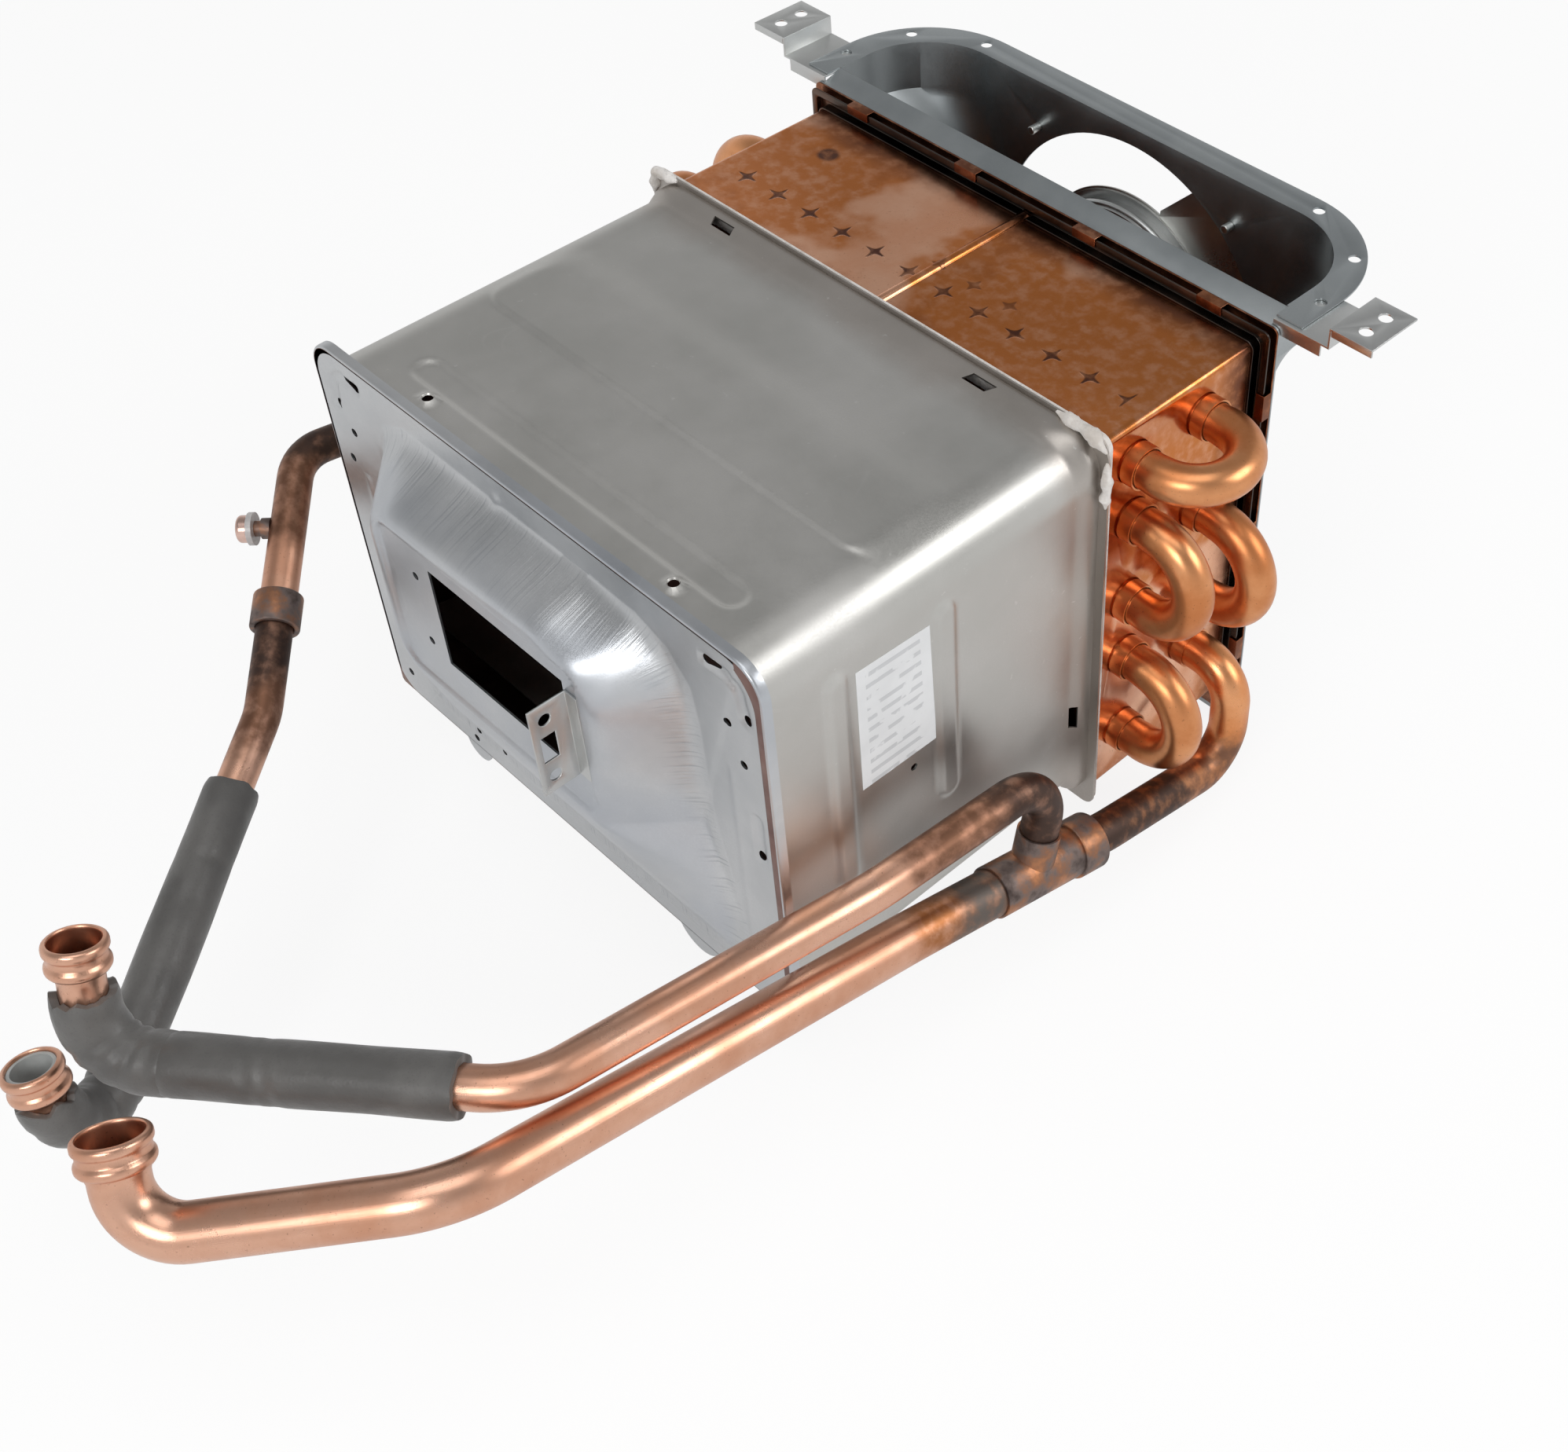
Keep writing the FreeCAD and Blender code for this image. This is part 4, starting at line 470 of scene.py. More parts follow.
def make_dark_frame():
    """Scorched copper of the clamping frame, brown-black and glossy."""
    finish = Finish("scorched_frame", roughness=0.22)
    tree = finish.tree
    cloud = finish.noise(35, 6)
    base = ramp(tree, cloud, [(0.3, (0.045, 0.04, 0.038, 1)), (0.55, (0.095, 0.078, 0.068, 1)),
                              (0.75, (0.20, 0.12, 0.085, 1))])
    finish.set(Base_Color=base, Roughness=ranged(tree, cloud, 0.3, 0.7, 0.16, 0.34))
    finish.bump(finish.noise(400, 3), 0.06, 0.0002)
    return finish.material


scorched_frame = make_dark_frame()


def make_brazed():
    """Brazed joint: burnt copper with grey flux patches."""
    finish = Finish("brazed_copper", metallic=0.75, roughness=0.5)
    tree = finish.tree
    cloud = finish.noise(90, 6)
    base = ramp(tree, cloud, [(0.3, (0.07, 0.05, 0.045, 1)), (0.46, (0.20, 0.155, 0.14, 1)),
                              (0.56, (0.30, 0.15, 0.09, 1)), (0.7, (0.52, 0.22, 0.10, 1))])
    finish.set(Base_Color=base, Roughness=ranged(tree, cloud, 0.3, 0.7, 0.6, 0.36))
    finish.bump(finish.noise(500, 4), 0.35, 0.0004)
    finish.bump(cloud, 0.2, 0.0008)
    return finish.material


brazed_copper = make_brazed()


def make_foam():
    """Closed-cell foam skin: grey, soft sheen, fine pores and rubbed streaks."""
    finish = Finish("grey_foam", metallic=0.0, roughness=0.42,
                    **{"Sheen Weight": 0.25, "Sheen Roughness": 0.4, "Specular IOR Level": 0.6})
    tree = finish.tree
    cloud = finish.noise(40, 5)
    pores = add(tree, "ShaderNodeTexVoronoi", {"Vector": finish.place, "Scale": 900})
    base = mixed(tree, ranged(tree, cloud, 0.35, 0.7), (0.085, 0.082, 0.078, 1),
                 (0.125, 0.121, 0.115, 1))
    pit = ranged(tree, pores.outputs["Distance"], 0.0, 0.35, 0.5, 0.0)
    base = mixed(tree, pit, base, (0.07, 0.068, 0.065, 1))
    finish.set(Base_Color=base, Roughness=ranged(tree, finish.noise(120, 4), 0.3, 0.7, 0.34, 0.55))
    finish.bump(pores.outputs["Distance"], 0.12, 0.0003)
    finish.bump(finish.noise(70, 5), 0.25, 0.0012)
    return finish.material


grey_foam = make_foam()


def make_fibre():
    """Pressed ceramic fibre, off-white and woolly."""
    finish = Finish("white_fibre", metallic=0.0, roughness=0.9, **{"Sheen Weight": 0.2})
    tree = finish.tree
    tangle = finish.noise(700, 5)
    base = mixed(tree, ranged(tree, finish.noise(120, 4), 0.35, 0.7), (0.80, 0.77, 0.74, 1),
                 (0.60, 0.55, 0.50, 1))
    finish.set(Base_Color=base)
    finish.bump(tangle, 0.5, 0.0008)
    finish.bump(finish.noise(200, 4), 0.5, 0.0015)
    return finish.material


white_fibre = make_fibre()


def make_plain(name, colour, metallic, roughness, **plain):
    """Even material with a slight mottle."""
    finish = Finish(name, metallic=metallic, roughness=roughness, **plain)
    tree = finish.tree
    cloud = finish.noise(150, 4)
    shade = tuple(c * 0.8 for c in colour[:3]) + (1,)
    finish.set(Base_Color=mixed(tree, ranged(tree, cloud, 0.3, 0.7), shade, colour))
    finish.bump(finish.noise(900, 2), 0.05, 0.0001)
    return finish.material


grey_liner = make_plain("grey_liner", (0.50, 0.52, 0.51, 1), 0.0, 0.5)
clear_ring = make_plain("clear_ring", (0.86, 0.83, 0.82, 1), 0.0, 0.25,
                        **{"Transmission Weight": 0.35})


def make_label_paper():
    """White label with a few faint grey bars and no lettering."""
    finish = Finish("label_paper", metallic=0.0, roughness=0.4)
    tree = finish.tree
    flat = finish.split(add(tree, "ShaderNodeUVMap", uv_map="Surface").outputs["UV"])
    rows = math_node(tree, "FRACT", times(tree, flat["Y"], 11.0))
    bars = math_node(tree, "GREATER_THAN", rows, 0.62)
    inset = times(tree, math_node(tree, "GREATER_THAN", flat["X"], 0.12),
                  math_node(tree, "LESS_THAN", flat["X"], 0.86))
    broken = ranged(tree, finish.noise(140, 2), 0.44, 0.50)
    bars = times(tree, times(tree, bars, inset), broken)
    paper = mixed(tree, ranged(tree, finish.noise(60, 3), 0.3, 0.7), (0.76, 0.77, 0.78, 1),
                  (0.82, 0.83, 0.84, 1))
    finish.set(Base_Color=mixed(tree, times(tree, bars, 0.4), paper, (0.34, 0.35, 0.37, 1)))
    return finish.material


label_paper = make_label_paper()
cap_copper = make_plain("cap_copper", (0.80, 0.56, 0.48, 1), 1.0, 0.25)
fin_copper = make_plain("fin_copper", (0.50, 0.22, 0.11, 1), 1.0, 0.35)


# Mesh helpers


def linked(name, data):
    """Object of the scene that shows the data."""
    made = bpy.data.objects.new(name, data)
    bpy.context.scene.collection.objects.link(made)
    return made


def smoothed(name, mesh, material, angle):
    """Piece with one material, sharp only past the angle."""
    mesh.polygons.foreach_set("use_smooth", [True] * len(mesh.polygons))
    mesh.set_sharp_from_angle(angle=math.radians(angle))
    mesh.materials.append(material)
    return linked(name, mesh)


def build(name, points, faces, material, uv=None):
    """Mesh piece from millimetre points, faces outwards."""
    mesh = bpy.data.meshes.new(name)
    mesh.from_pydata((np.asarray(points, float) * MM).tolist(), [], faces)
    if uv is not None:
        layer = mesh.uv_layers.new(name="Surface")
        layer.data.foreach_set("uv", np.asarray(uv, np.float32).ravel())
    return smoothed(name, mesh, material, 38)


def signed_volume(points, faces):
    p = np.asarray(points, float)
    total = 0.0
    for face in faces:
        a = p[face[0]]
        for i in range(1, len(face) - 1):
            total += np.dot(a, np.cross(p[face[i]], p[face[i + 1]]))
    return total / 6


def ring_grid(rings, around, lengths):
    """Faces and surface map of a grid that wraps both ways."""
    faces, uv = [], []
    for i in range(rings):
        k = (i + 1) % rings
        for j in range(around):
            m = (j + 1) % around
            faces.append((i * around + j, i * around + m, k * around + m, k * around + j))
            a, b = j / around, (j + 1) / around
            u, w = lengths[i] / 100, lengths[k] / 100
            uv += [(u, a), (u, b), (w, b), (w, a)]
    return faces, uv


def route(points, radii, step=2.5):
    """Places and directions along straight runs joined by tangent arcs."""
    points = [Vector(p) for p in points]
    places, ways = [], []

    def run(a, b):
        count = max(1, round((b - a).length / step))
        for i in range(count):
            places.append(a.lerp(b, i / count))
            ways.append((b - a).normalized())

    start = points[0]
    for i in range(1, len(points) - 1):
        here = points[i]
        u, w = (points[i - 1] - here).normalized(), (points[i + 1] - here).normalized()
        half = u.angle(w) / 2
        r = radii[i - 1]
        reach = r / math.tan(half)
        enter, leave = here + u * reach, here + w * reach
        centre = here + (u + w).normalized() * (r / math.sin(half))
        run(start, enter)
        sweep = math.pi - 2 * half
        count = max(2, round(sweep * r / step), round(sweep / math.radians(6)))
        first, side = enter - centre, -u
        for k in range(count):
            a = sweep * k / count
            places.append(centre + first * math.cos(a) + side * (r * math.sin(a)))
            ways.append((side * math.cos(a) - first.normalized() * math.sin(a)).normalized())
        start = leave
    run(start, points[-1])
    places.append(points[-1])
    ways.append((points[-1] - start).normalized())
    return places, ways


def frames(ways):
    """A side and an up direction carried along without twist."""
    up = Vector((0, 0, 1)) if abs(ways[0].z) < 0.9 else Vector((0, 1, 0))
    side = ways[0].cross(up).normalized()
    made = []
    for way in ways:
        side = (side - way * side.dot(way)).normalized()
        made.append((side, way.cross(side).normalized()))
    return made


def tube(name, places, ways, outer, inner, material, sides=36, shape=None):
    """Hollow tube with a radius at each station; shape may change one and shift a place along."""
    made = frames(ways)
    lengths = [0.0]
    for a, b in zip(places, places[1:]):
        lengths.append(lengths[-1] + (b - a).length)
    angles = [2 * math.pi * j / sides for j in range(sides)]
    points, along = [], []
    order = [(i, outer, True) for i in range(len(places))]
    order += [(i, inner, False) for i in reversed(range(len(places)))]
    for i, radius, outside in order:
        side, up = made[i]
        for a in angles:
            r, shift = shape(lengths[i], a, radius[i], outside) if shape else (radius[i], 0.0)
            points.append(places[i] + (side * math.cos(a) + up * math.sin(a)) * r
                          + ways[i] * shift)
        along.append(lengths[i])
    faces, uv = ring_grid(len(order), sides, along)
    if signed_volume(points, faces) < 0:
        faces = [tuple(reversed(f)) for f in faces]
        uv = [uv[4 * i + 3 - k] for i in range(len(faces)) for k in range(4)]
    return build(name, [tuple(p) for p in points], faces, material, uv)


def finish_piece(piece, slot, *nodes):
    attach(piece, "root")
    if nodes:
        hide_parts(*nodes)
    return piece


# Pipes, on the routes of the part's source

MOUTH_HEIGHT = 14.0
LARGE_MOUTH, SMALL_MOUTH = 24.6, 20.6


def mouth_stations(mouth, pipe_r):
    """Formed end as (height, outer radius, inner radius)."""
    r = mouth / 2
    tall = MOUTH_HEIGHT
    bore = pipe_r - WALL
    return [(0.0, pipe_r, bore), (1.2, pipe_r + 0.3, bore + 0.2), (2.5, r - 2.2, r - 3.6),
            (3.4, r - 0.7, r - 2.3), (4.2, r - 0.15, r - 2.2), (4.8, r, r - 2.2),
            (5.8, r, r - 2.2), (6.5, r - 0.2, r - 2.2), (7.2, r - 0.8, r - 2.2),
            (7.6, r - 0.95, r - 2.2), (tall - 4.6, r - 0.95, r - 2.2),
            (tall - 4.0, r - 0.8, r - 2.2), (tall - 3.4, r - 0.2, r - 2.2),
            (tall - 2.9, r, r - 2.2), (tall - 1.5, r, r - 2.2), (tall - 0.7, r - 0.25, r - 2.15),
            (tall - 0.2, r - 0.8, r - 2.0), (tall, r - 1.5, r - 1.8)]


def ended_tube(name, points, radii, pipe_r, mouth, material):
    """Pipe with its formed mouth, made in one sweep."""
    points = [Vector(p) for p in points]
    axis = (points[-1] - points[-2]).normalized()
    base = points[-1] - axis * MOUTH_HEIGHT
    places, ways = route(points[:-1] + [base], radii)
    outer = [pipe_r] * len(places)
    inner = [pipe_r - WALL] * len(places)
    for height, out_r, in_r in mouth_stations(mouth, pipe_r)[1:]:
        places.append(base + axis * height)
        ways.append(axis)
        outer.append(out_r)
        inner.append(in_r)
    return tube(name, places, ways, outer, inner, material, 40)


TEE_PLACE, TEE_HALF, TEE_SEAT = 40, 20, 4
BRANCH_SEAT, BRANCH_RISE = 15, 49
SIDE_REACH, JOINT_RUN = 46, 73
OUTLET_REACH, OUTLET_DROP, OUTLET_RUN = 26.5, 47, 22

main_points = [Vector(p) for p in ((RUN_X + 10.5, -172, -95), (RUN_X + 4, -272, -75.5),
                                   (RUN_X + 0.5, -458, -32), (71.8, -531.3, -46.5),
                                   (56.5, -520.5, -16.4))]
run_dir = (main_points[1] - main_points[0]).normalized()
tee_centre = main_points[0] + run_dir * TEE_PLACE
tee_up = Vector((-0.02, 0.26, 0.96)).normalized()


pipe_main_copper = make_pipe_copper("main_copper", [(0, 46, RUST, 0.42), (0, 26, ASH, 0.55)])
pipe_branch_copper = make_pipe_copper("branch_copper", [(0, 92, BROWN, 0.42), (0, 50, BURNT, 0.5)])
pipe_outlet_copper = make_pipe_copper("outlet_copper",
                                      [(46, 200, BROWN, 0.45), (92, 200, BURNT, 0.5)],
                                      (0.88, 0.42, 0.20, 1), (0.74, 0.28, 0.10, 1))
pipe_upper_copper = make_pipe_copper("side_upper_copper",
                                     [(0, 300, BROWN, 0.4), (60, 130, BURNT, 0.45),
                                      (175, 260, BURNT, 0.5)])
pipe_lower_copper = make_pipe_copper("side_lower_copper",
                                     [(0, 60, BROWN, 0.42), (0, 30, BURNT, 0.5)])

finish_piece(ended_tube("main_water_pipe",
                        [tee_centre + run_dir * (TEE_HALF - TEE_SEAT)] + main_points[1:],
                        [120, 42, 18], MAIN_RADIUS, LARGE_MOUTH, pipe_main_copper), "pipe_copper",
             "main_pipe")

branch_points = [tee_centre + tee_up * BRANCH_SEAT, tee_centre + tee_up * BRANCH_RISE,
                 Vector((RUN_X + 1, -282, -41)), Vector((RUN_X - 9.5, -422, -24.5)),
                 Vector((15.3, -507.9, -33)), Vector((4.7, -496, 8.8))]
finish_piece(ended_tube("branch_water_pipe", branch_points, [17, 120, 34, 20], BRANCH_RADIUS,
                        SMALL_MOUTH, pipe_branch_copper), "pipe_copper", "branch_pipe")

side_bend = Vector((-167.5, -310, -6.5))
side_low = Vector((-88, -385.5, -42.5))
side_dir = (side_low - side_bend).normalized()
side_joint = side_bend + side_dir * JOINT_RUN
lower_points = [side_joint, side_low, Vector((10.7, -526.7, -82.5)), Vector((-2, -523.3, -38.5))]
finish_piece(ended_tube("side_water_pipe_lower", lower_points, [40, 20], SIDE_RADIUS,
                        SMALL_MOUTH, pipe_lower_copper), "pipe_copper", "side_pipe_lower")

# Where the bends' sockets start, how long the sockets are, and the legs of the return bends
SEAT_X = BLOCK_HALF + 1.2
SOCKET_LENGTH, SOCKET_CONE = 8.5, 1.5
BEND_LEG = 10
LEG_STATIONS = (0, 2.5, 5, 7.5)


def side_upper_pipe():
    """Upper length of the side pipe, its first end opened to the water tube's size."""
    y, z = TUBE_PLACES[7]
    points = [(-SEAT_X, y, z), (-BLOCK_HALF - SIDE_REACH, y, z), side_bend, side_joint]
    places, ways = route(points, [20, 22])
    outer = []
    for place in places:
        past = -SEAT_X - place.x - SOCKET_LENGTH if place.y > y - 1 else math.inf
        outer.append(TUBE_RADIUS - min(TUBE_RADIUS - SIDE_RADIUS, max(0.0, past) / SOCKET_CONE))
    inner = [SIDE_RADIUS - WALL] * len(places)
    return tube("side_water_pipe_upper", places, ways, outer, inner, pipe_upper_copper)


finish_piece(side_upper_pipe(), "burnt_copper", "side_pipe_upper")

socket_end = tee_centre - run_dir * TEE_HALF
low_y, low_z = TUBE_PLACES[8]
places, ways = route([(SEAT_X, low_y, low_z), (BLOCK_HALF + OUTLET_REACH, low_y, low_z),
                      (BLOCK_HALF + OUTLET_REACH + 1.5, low_y - 2, low_z - OUTLET_DROP),
                      socket_end - run_dir * OUTLET_RUN, socket_end], [17, 17, 60])
finish_piece(tube("outlet_bend", places, ways, [TUBE_RADIUS] * len(places),
                  [TUBE_BORE] * len(places), pipe_outlet_copper), "bright_copper", "outlet_tube")

BENDS = [("right_top", 1, 0, 5), ("right_mid_front", 1, 1, 2), ("right_mid_rear", 1, 6, 7),
         ("right_low", 1, 3, 4), ("left_top", -1, 0, 1), ("left_rear", -1, 5, 6),
         ("left_mid", -1, 2, 3), ("left_low", -1, 4, 8)]


def u_bend(label, side, first, second):
    """Return bend: two short legs and a half circle between them."""
    a = Vector((side * SEAT_X, *TUBE_PLACES[first]))
    b = Vector((side * SEAT_X, *TUBE_PLACES[second]))
    out = Vector((side, 0, 0))
    r = (b - a).length / 2
    middle = (a + b) / 2 + out * BEND_LEG
    places = [a + out * t for t in LEG_STATIONS]
    ways = [out] * len(LEG_STATIONS)
    arm = (a - b).normalized()
    count = 30
    for k in range(count + 1):
        t = math.pi * k / count
        places.append(middle + arm * (r * math.cos(t)) + out * (r * math.sin(t)))
        ways.append((out * math.cos(t) - arm * math.sin(t)).normalized())
    places += [b + out * t for t in reversed(LEG_STATIONS)]
    ways += [-out] * len(LEG_STATIONS)
    outer = []
    for i in range(len(places)):
        leg = min(i, len(places) - 1 - i)
        outer.append(TUBE_RADIUS - 0.35 * math.exp(-((leg - 2.6) / 1.1) ** 2))
    piece = tube("return_bend_" + label, places, ways, outer, [TUBE_BORE] * len(places),
                 bright_copper)
    finish_piece(piece, "bright_copper", "u_bend_" + label)


for bend in BENDS:
    u_bend(*bend)


# Pressed sheet: a grid of places, trimmed to an outline and holes, then given its thickness


def smooth(t):
    t = np.clip(t, 0, 1)
    return t * t * (3 - 2 * t)


def rect_distance(x, y, cx, cy, half_x, half_y, r):
    """Distance outside a rounded rectangle, negative inside it."""
    qx = np.abs(x - cx) - half_x + r
    qy = np.abs(y - cy) - half_y + r
    return np.hypot(np.maximum(qx, 0), np.maximum(qy, 0)) + np.minimum(np.maximum(qx, qy), 0) - r


def line_distance(x, y, corners):
    """Distance from a run of straight lines."""
    best = np.full(np.shape(x), 1e9)
    for (ax, ay), (bx, by) in zip(corners, corners[1:]):
        ex, ey = bx - ax, by - ay
        t = np.clip(((x - ax) * ex + (y - ay) * ey) / (ex * ex + ey * ey), 0, 1)
        best = np.minimum(best, np.hypot(x - ax - ex * t, y - ay - ey * t))
    return best


def outline_distance(x, y, corners, r):
    """Distance outside a polygon with corners rounded by r, and the place along its outline."""
    corners = np.asarray(corners, float)
    ahead = np.roll(corners, -1, 0) - corners
    ahead /= np.linalg.norm(ahead, axis=1)[:, None]
    inward = np.stack([-ahead[:, 1], ahead[:, 0]], 1)
    before = np.roll(inward, 1, 0)
    moved = corners + (inward + before) * (r / (1 + (inward * before).sum(1)))[:, None]
    best, place = np.full(np.shape(x), 1e9), np.zeros(np.shape(x))
    inside = np.zeros(np.shape(x), bool)
    start = 0.0
    for (ax, ay), (bx, by) in zip(moved, np.roll(moved, -1, 0)):
        ex, ey = bx - ax, by - ay
        t = np.clip(((x - ax) * ex + (y - ay) * ey) / (ex * ex + ey * ey), 0, 1)
        d = np.hypot(x - ax - ex * t, y - ay - ey * t)
        place = np.where(d < best, start + t * math.hypot(ex, ey), place)
        best = np.minimum(best, d)
        span = ((ay > y) != (by > y))
        inside ^= span & (x < ex * (y - ay) / (ey if ey else 1) + ax)
        start += math.hypot(ex, ey)
    return np.where(inside, -best, best) - r, place


def stations(*spans):
    """Places along one direction from spans of (start, end, step)."""
    made = []
    for start, end, step in spans:
        count = max(1, round(abs(end - start) / step))
        made += list(np.linspace(start, end, count + 1)[:-1])
    return np.array(made + [spans[-1][1]])


def trimmed_grid(us, vs, inside, window, wrap):
    """Flat grid cut along the outline where inside is nought, its edge drawn onto the outline."""
    u, v = (a.ravel() for a in np.meshgrid(us, vs, indexing="ij"))
    nu, nv = len(us), len(vs)
    i = np.arange(nu if wrap else nu - 1)[:, None]
    j = np.arange(nv - 1)[None, :]
    k = (i + 1) % nu
    quads = np.stack([i * nv + j, k * nv + j, k * nv + j + 1, i * nv + j + 1], -1).reshape(-1, 4)
    if window:
        quads = quads[~window(u[quads].mean(1), v[quads].mean(1))]
    if inside:
        cut = (inside(u, v) < 0)[quads].any(1)
        edge = np.zeros(len(u), bool)
        edge[quads[cut].ravel()] = True
        kept = np.zeros(len(u), bool)
        kept[quads[~cut].ravel()] = True
        edge &= kept
        for _ in range(3):
            a, b = u[edge], v[edge]
            slope_u = (inside(a + 0.05, b) - inside(a - 0.05, b)) / 0.1
            slope_v = (inside(a, b + 0.05) - inside(a, b - 0.05)) / 0.1
            move = inside(a, b) / (slope_u ** 2 + slope_v ** 2 + 1e-6)
            u[edge] = a - move * slope_u
            v[edge] = b - move * slope_v
        quads = quads[~cut]
    return u, v, quads


def compact(points, quads):
    used = np.unique(quads)
    index = np.zeros(len(points), int)
    index[used] = np.arange(len(used))
    return points[used], index[quads], used


def thickened(points, quads, thick):
    """Closed sheet: the grid, its back at thick behind it, and the edges between them."""
    a, b, c, d = (points[quads[:, n]] for n in range(4))
    flat = np.cross(c - a, d - b)
    normals = np.zeros_like(points)
    for n in range(4):
        np.add.at(normals, quads[:, n], flat)
    normals /= np.linalg.norm(normals, axis=1)[:, None] + 1e-12
    count = len(points)
    edges = {}
    for quad in quads.tolist():
        for n in range(4):
            p, q = quad[n], quad[(n + 1) % 4]
            if (q, p) in edges:
                del edges[(q, p)]
            else:
                edges[(p, q)] = True
    front = quads.tolist()
    back = [[q + count for q in reversed(quad)] for quad in front]
    sides = [[q, p, p + count, q + count] for p, q in edges]
    return np.vstack([points, points - normals * thick]), front + back + sides, len(front)


def sheet(name, grid, place, thick, material, slot, nodes, lining=None, surface=None):
    """Piece of pressed sheet; place maps the flat grid to millimetre points, faces outwards."""
    u, v, quads = grid
    points, quads, used = compact(np.stack(place(u, v), 1), quads)
    full, faces, front = thickened(points, quads, thick)
    uv = None
    if surface is not None:
        flat = np.stack(surface(u, v), 1)[used]
        flat = np.vstack([flat, flat])
        uv = flat[np.array(faces).ravel()]
    piece = build(name, full, faces, material, uv)
    if lining:
        piece.data.materials.append(lining)
        tags = np.zeros(len(faces), np.int32)
        tags[front:2 * front] = 1
        piece.data.polygons.foreach_set("material_index", tags)
    return finish_piece(piece, slot, *nodes)


# Burner cover

FOOT = [(-97, -94), (98, -94), (101, -70), (90, -18), (88.5, 30), (86, 45), (77, 56), (62, 61.5),
        (-68, 63), (-82, 57), (-88.5, 44), (-90, 5)]
PANEL = [(-60, -24.5), (61, -24.5), (61, 30), (54, 46), (36, 54), (-50, 49), (-60, 38)]
OPENING = (-27.0, 49.0, -7.5, 38.5)
COVER_HOLES = [(105.6, 42.6, 1.8), (111.6, 26.5, 1.8), (115.6, 49.9, 2.0), (114.9, -17.5, 1.9),
               (-107.0, 40.6, 1.8), (-113.4, 25.1, 1.8), (-113.6, 50.6, 2.0), (-37, 29.5, 1.7),
               (-37, -2.5, 1.7), (-114.1, -91.5, 1.8), (-70, -98.5, 1.7), (-66, -91, 1.5),
               (-48.5, -90.6, 1.4)]
COVER_FEET = ((-70, -102.5, 8), (70, -98.5, 12))
COVER_PRESS = 25
COVER_CORNER = 13
COVER_BEND = 1.2
# The pressed form is the mean over this many places on a circle, which softens its edges
SOFTENING, SOFTENING_PLACES = 2.6, 6
# Relief wedge at the lower right: a place on its fold, its depth there and its two slopes
RELIEF_X, RELIEF_Z, RELIEF_DEPTH = 55, -31.5, 22
RELIEF_SLOPES = ((-0.82, 0.257), (-0.695, -0.263))
# Rounded rectangles: centre, half sizes and corner
RECESS = (0, 11, 57, 35, 8)
FOOT_RIM = (-0.5, -14.5, 105, 79, 22)
RECESS_DEPTH, CHANNEL_DEPTH, RIM_HEIGHT = 1.2, 1.0, 0.35
CHANNEL = [(98, 65.8), (108, 66.2), (113, 62), (115.2, 50)]
SIDE_SLOT = [(115, 1), (115, -17)]


def rounded_steps(t, low, high):
    """Ramp from 0 to 1 with a rounded foot and a rounded head."""
    slope = 1 / (1 - (low + high) / 2)
    middle = slope * (t - low / 2)
    middle = np.where(t < low, slope * t * t / (2 * low), middle)
    return np.where(t > 1 - high, 1 - slope * (1 - t) ** 2 / (2 * high), middle)


def cover_depth(x, z):
    """How far the cover is pressed towards the burner."""
    depth = 0
    for turn in np.arange(SOFTENING_PLACES) * (2 * np.pi / SOFTENING_PLACES):
        near_x, near_z = x + SOFTENING * np.cos(turn), z + SOFTENING * np.sin(turn)
        foot, _ = outline_distance(near_x, near_z, FOOT, 9)
        panel, _ = outline_distance(near_x, near_z, PANEL, 10)
        inner, outer = np.maximum(-foot, 0), np.maximum(panel, 0)
        t = inner / (inner + outer + 1e-9)
        depth = depth + COVER_PRESS / SOFTENING_PLACES * rounded_steps(t, 0.13, 0.2)
    panel, _ = outline_distance(x, z, PANEL, 6)
    outer = np.maximum(panel, 0)
    upper, lower = (RELIEF_DEPTH + across * (x - RELIEF_X) + up * (z - RELIEF_Z)
                    for across, up in RELIEF_SLOPES)
    notch = np.maximum(np.maximum(upper, lower), 0)
    soft = np.clip(0.5 + (depth - notch) / 3, 0, 1)
    pressed = depth * (1 - soft) + notch * soft - soft * (1 - soft) * 1.5
    depth = np.where(x > 40, pressed, depth)
    recess = rect_distance(x, z, *RECESS)
    depth = depth - RECESS_DEPTH * smooth(0.5 - recess / 1.8) * (outer < 0.01)
    depth = depth + 0.9 * np.exp(-((x + 12) ** 2 + (z - 65.5) ** 2) / 7)
    edge = np.minimum(line_distance(np.abs(x), z, CHANNEL), line_distance(x, z, SIDE_SLOT))
    depth = depth - CHANNEL_DEPTH * smooth((3.4 - edge) / 2.0)
    foot_rim = rect_distance(x, z, *FOOT_RIM)
    return depth + RIM_HEIGHT * smooth((3.0 - np.abs(foot_rim)) / 3.0) * (z < 20)


def cover_inside(x, z):
    """Distance inside the cover's outline and outside its holes."""
    middle = (COVER_TOP + COVER_BOTTOM) / 2
    half = (COVER_TOP - COVER_BOTTOM) / 2
    d = -rect_distance(x, z, 0, middle, COVER_HALF - COVER_BEND, half - COVER_BEND,
                       COVER_CORNER - COVER_BEND)
    for cx, cz, r in COVER_FEET:
        d = np.maximum(d, r - np.hypot(x - cx, z - cz))
    for cx, cz, r in COVER_HOLES:
        d = np.minimum(d, np.hypot(x - cx, z - cz) - r)
    for side in (-1, 1):
        d = np.minimum(d, line_distance(x, z, [(side * 98, 65.8), (side * 103.5, 67.4)]) - 1.9)
    return d


def cover_window(x, z):
    return (x > OPENING[0]) & (x < OPENING[1]) & (z > OPENING[2]) & (z < OPENING[3])


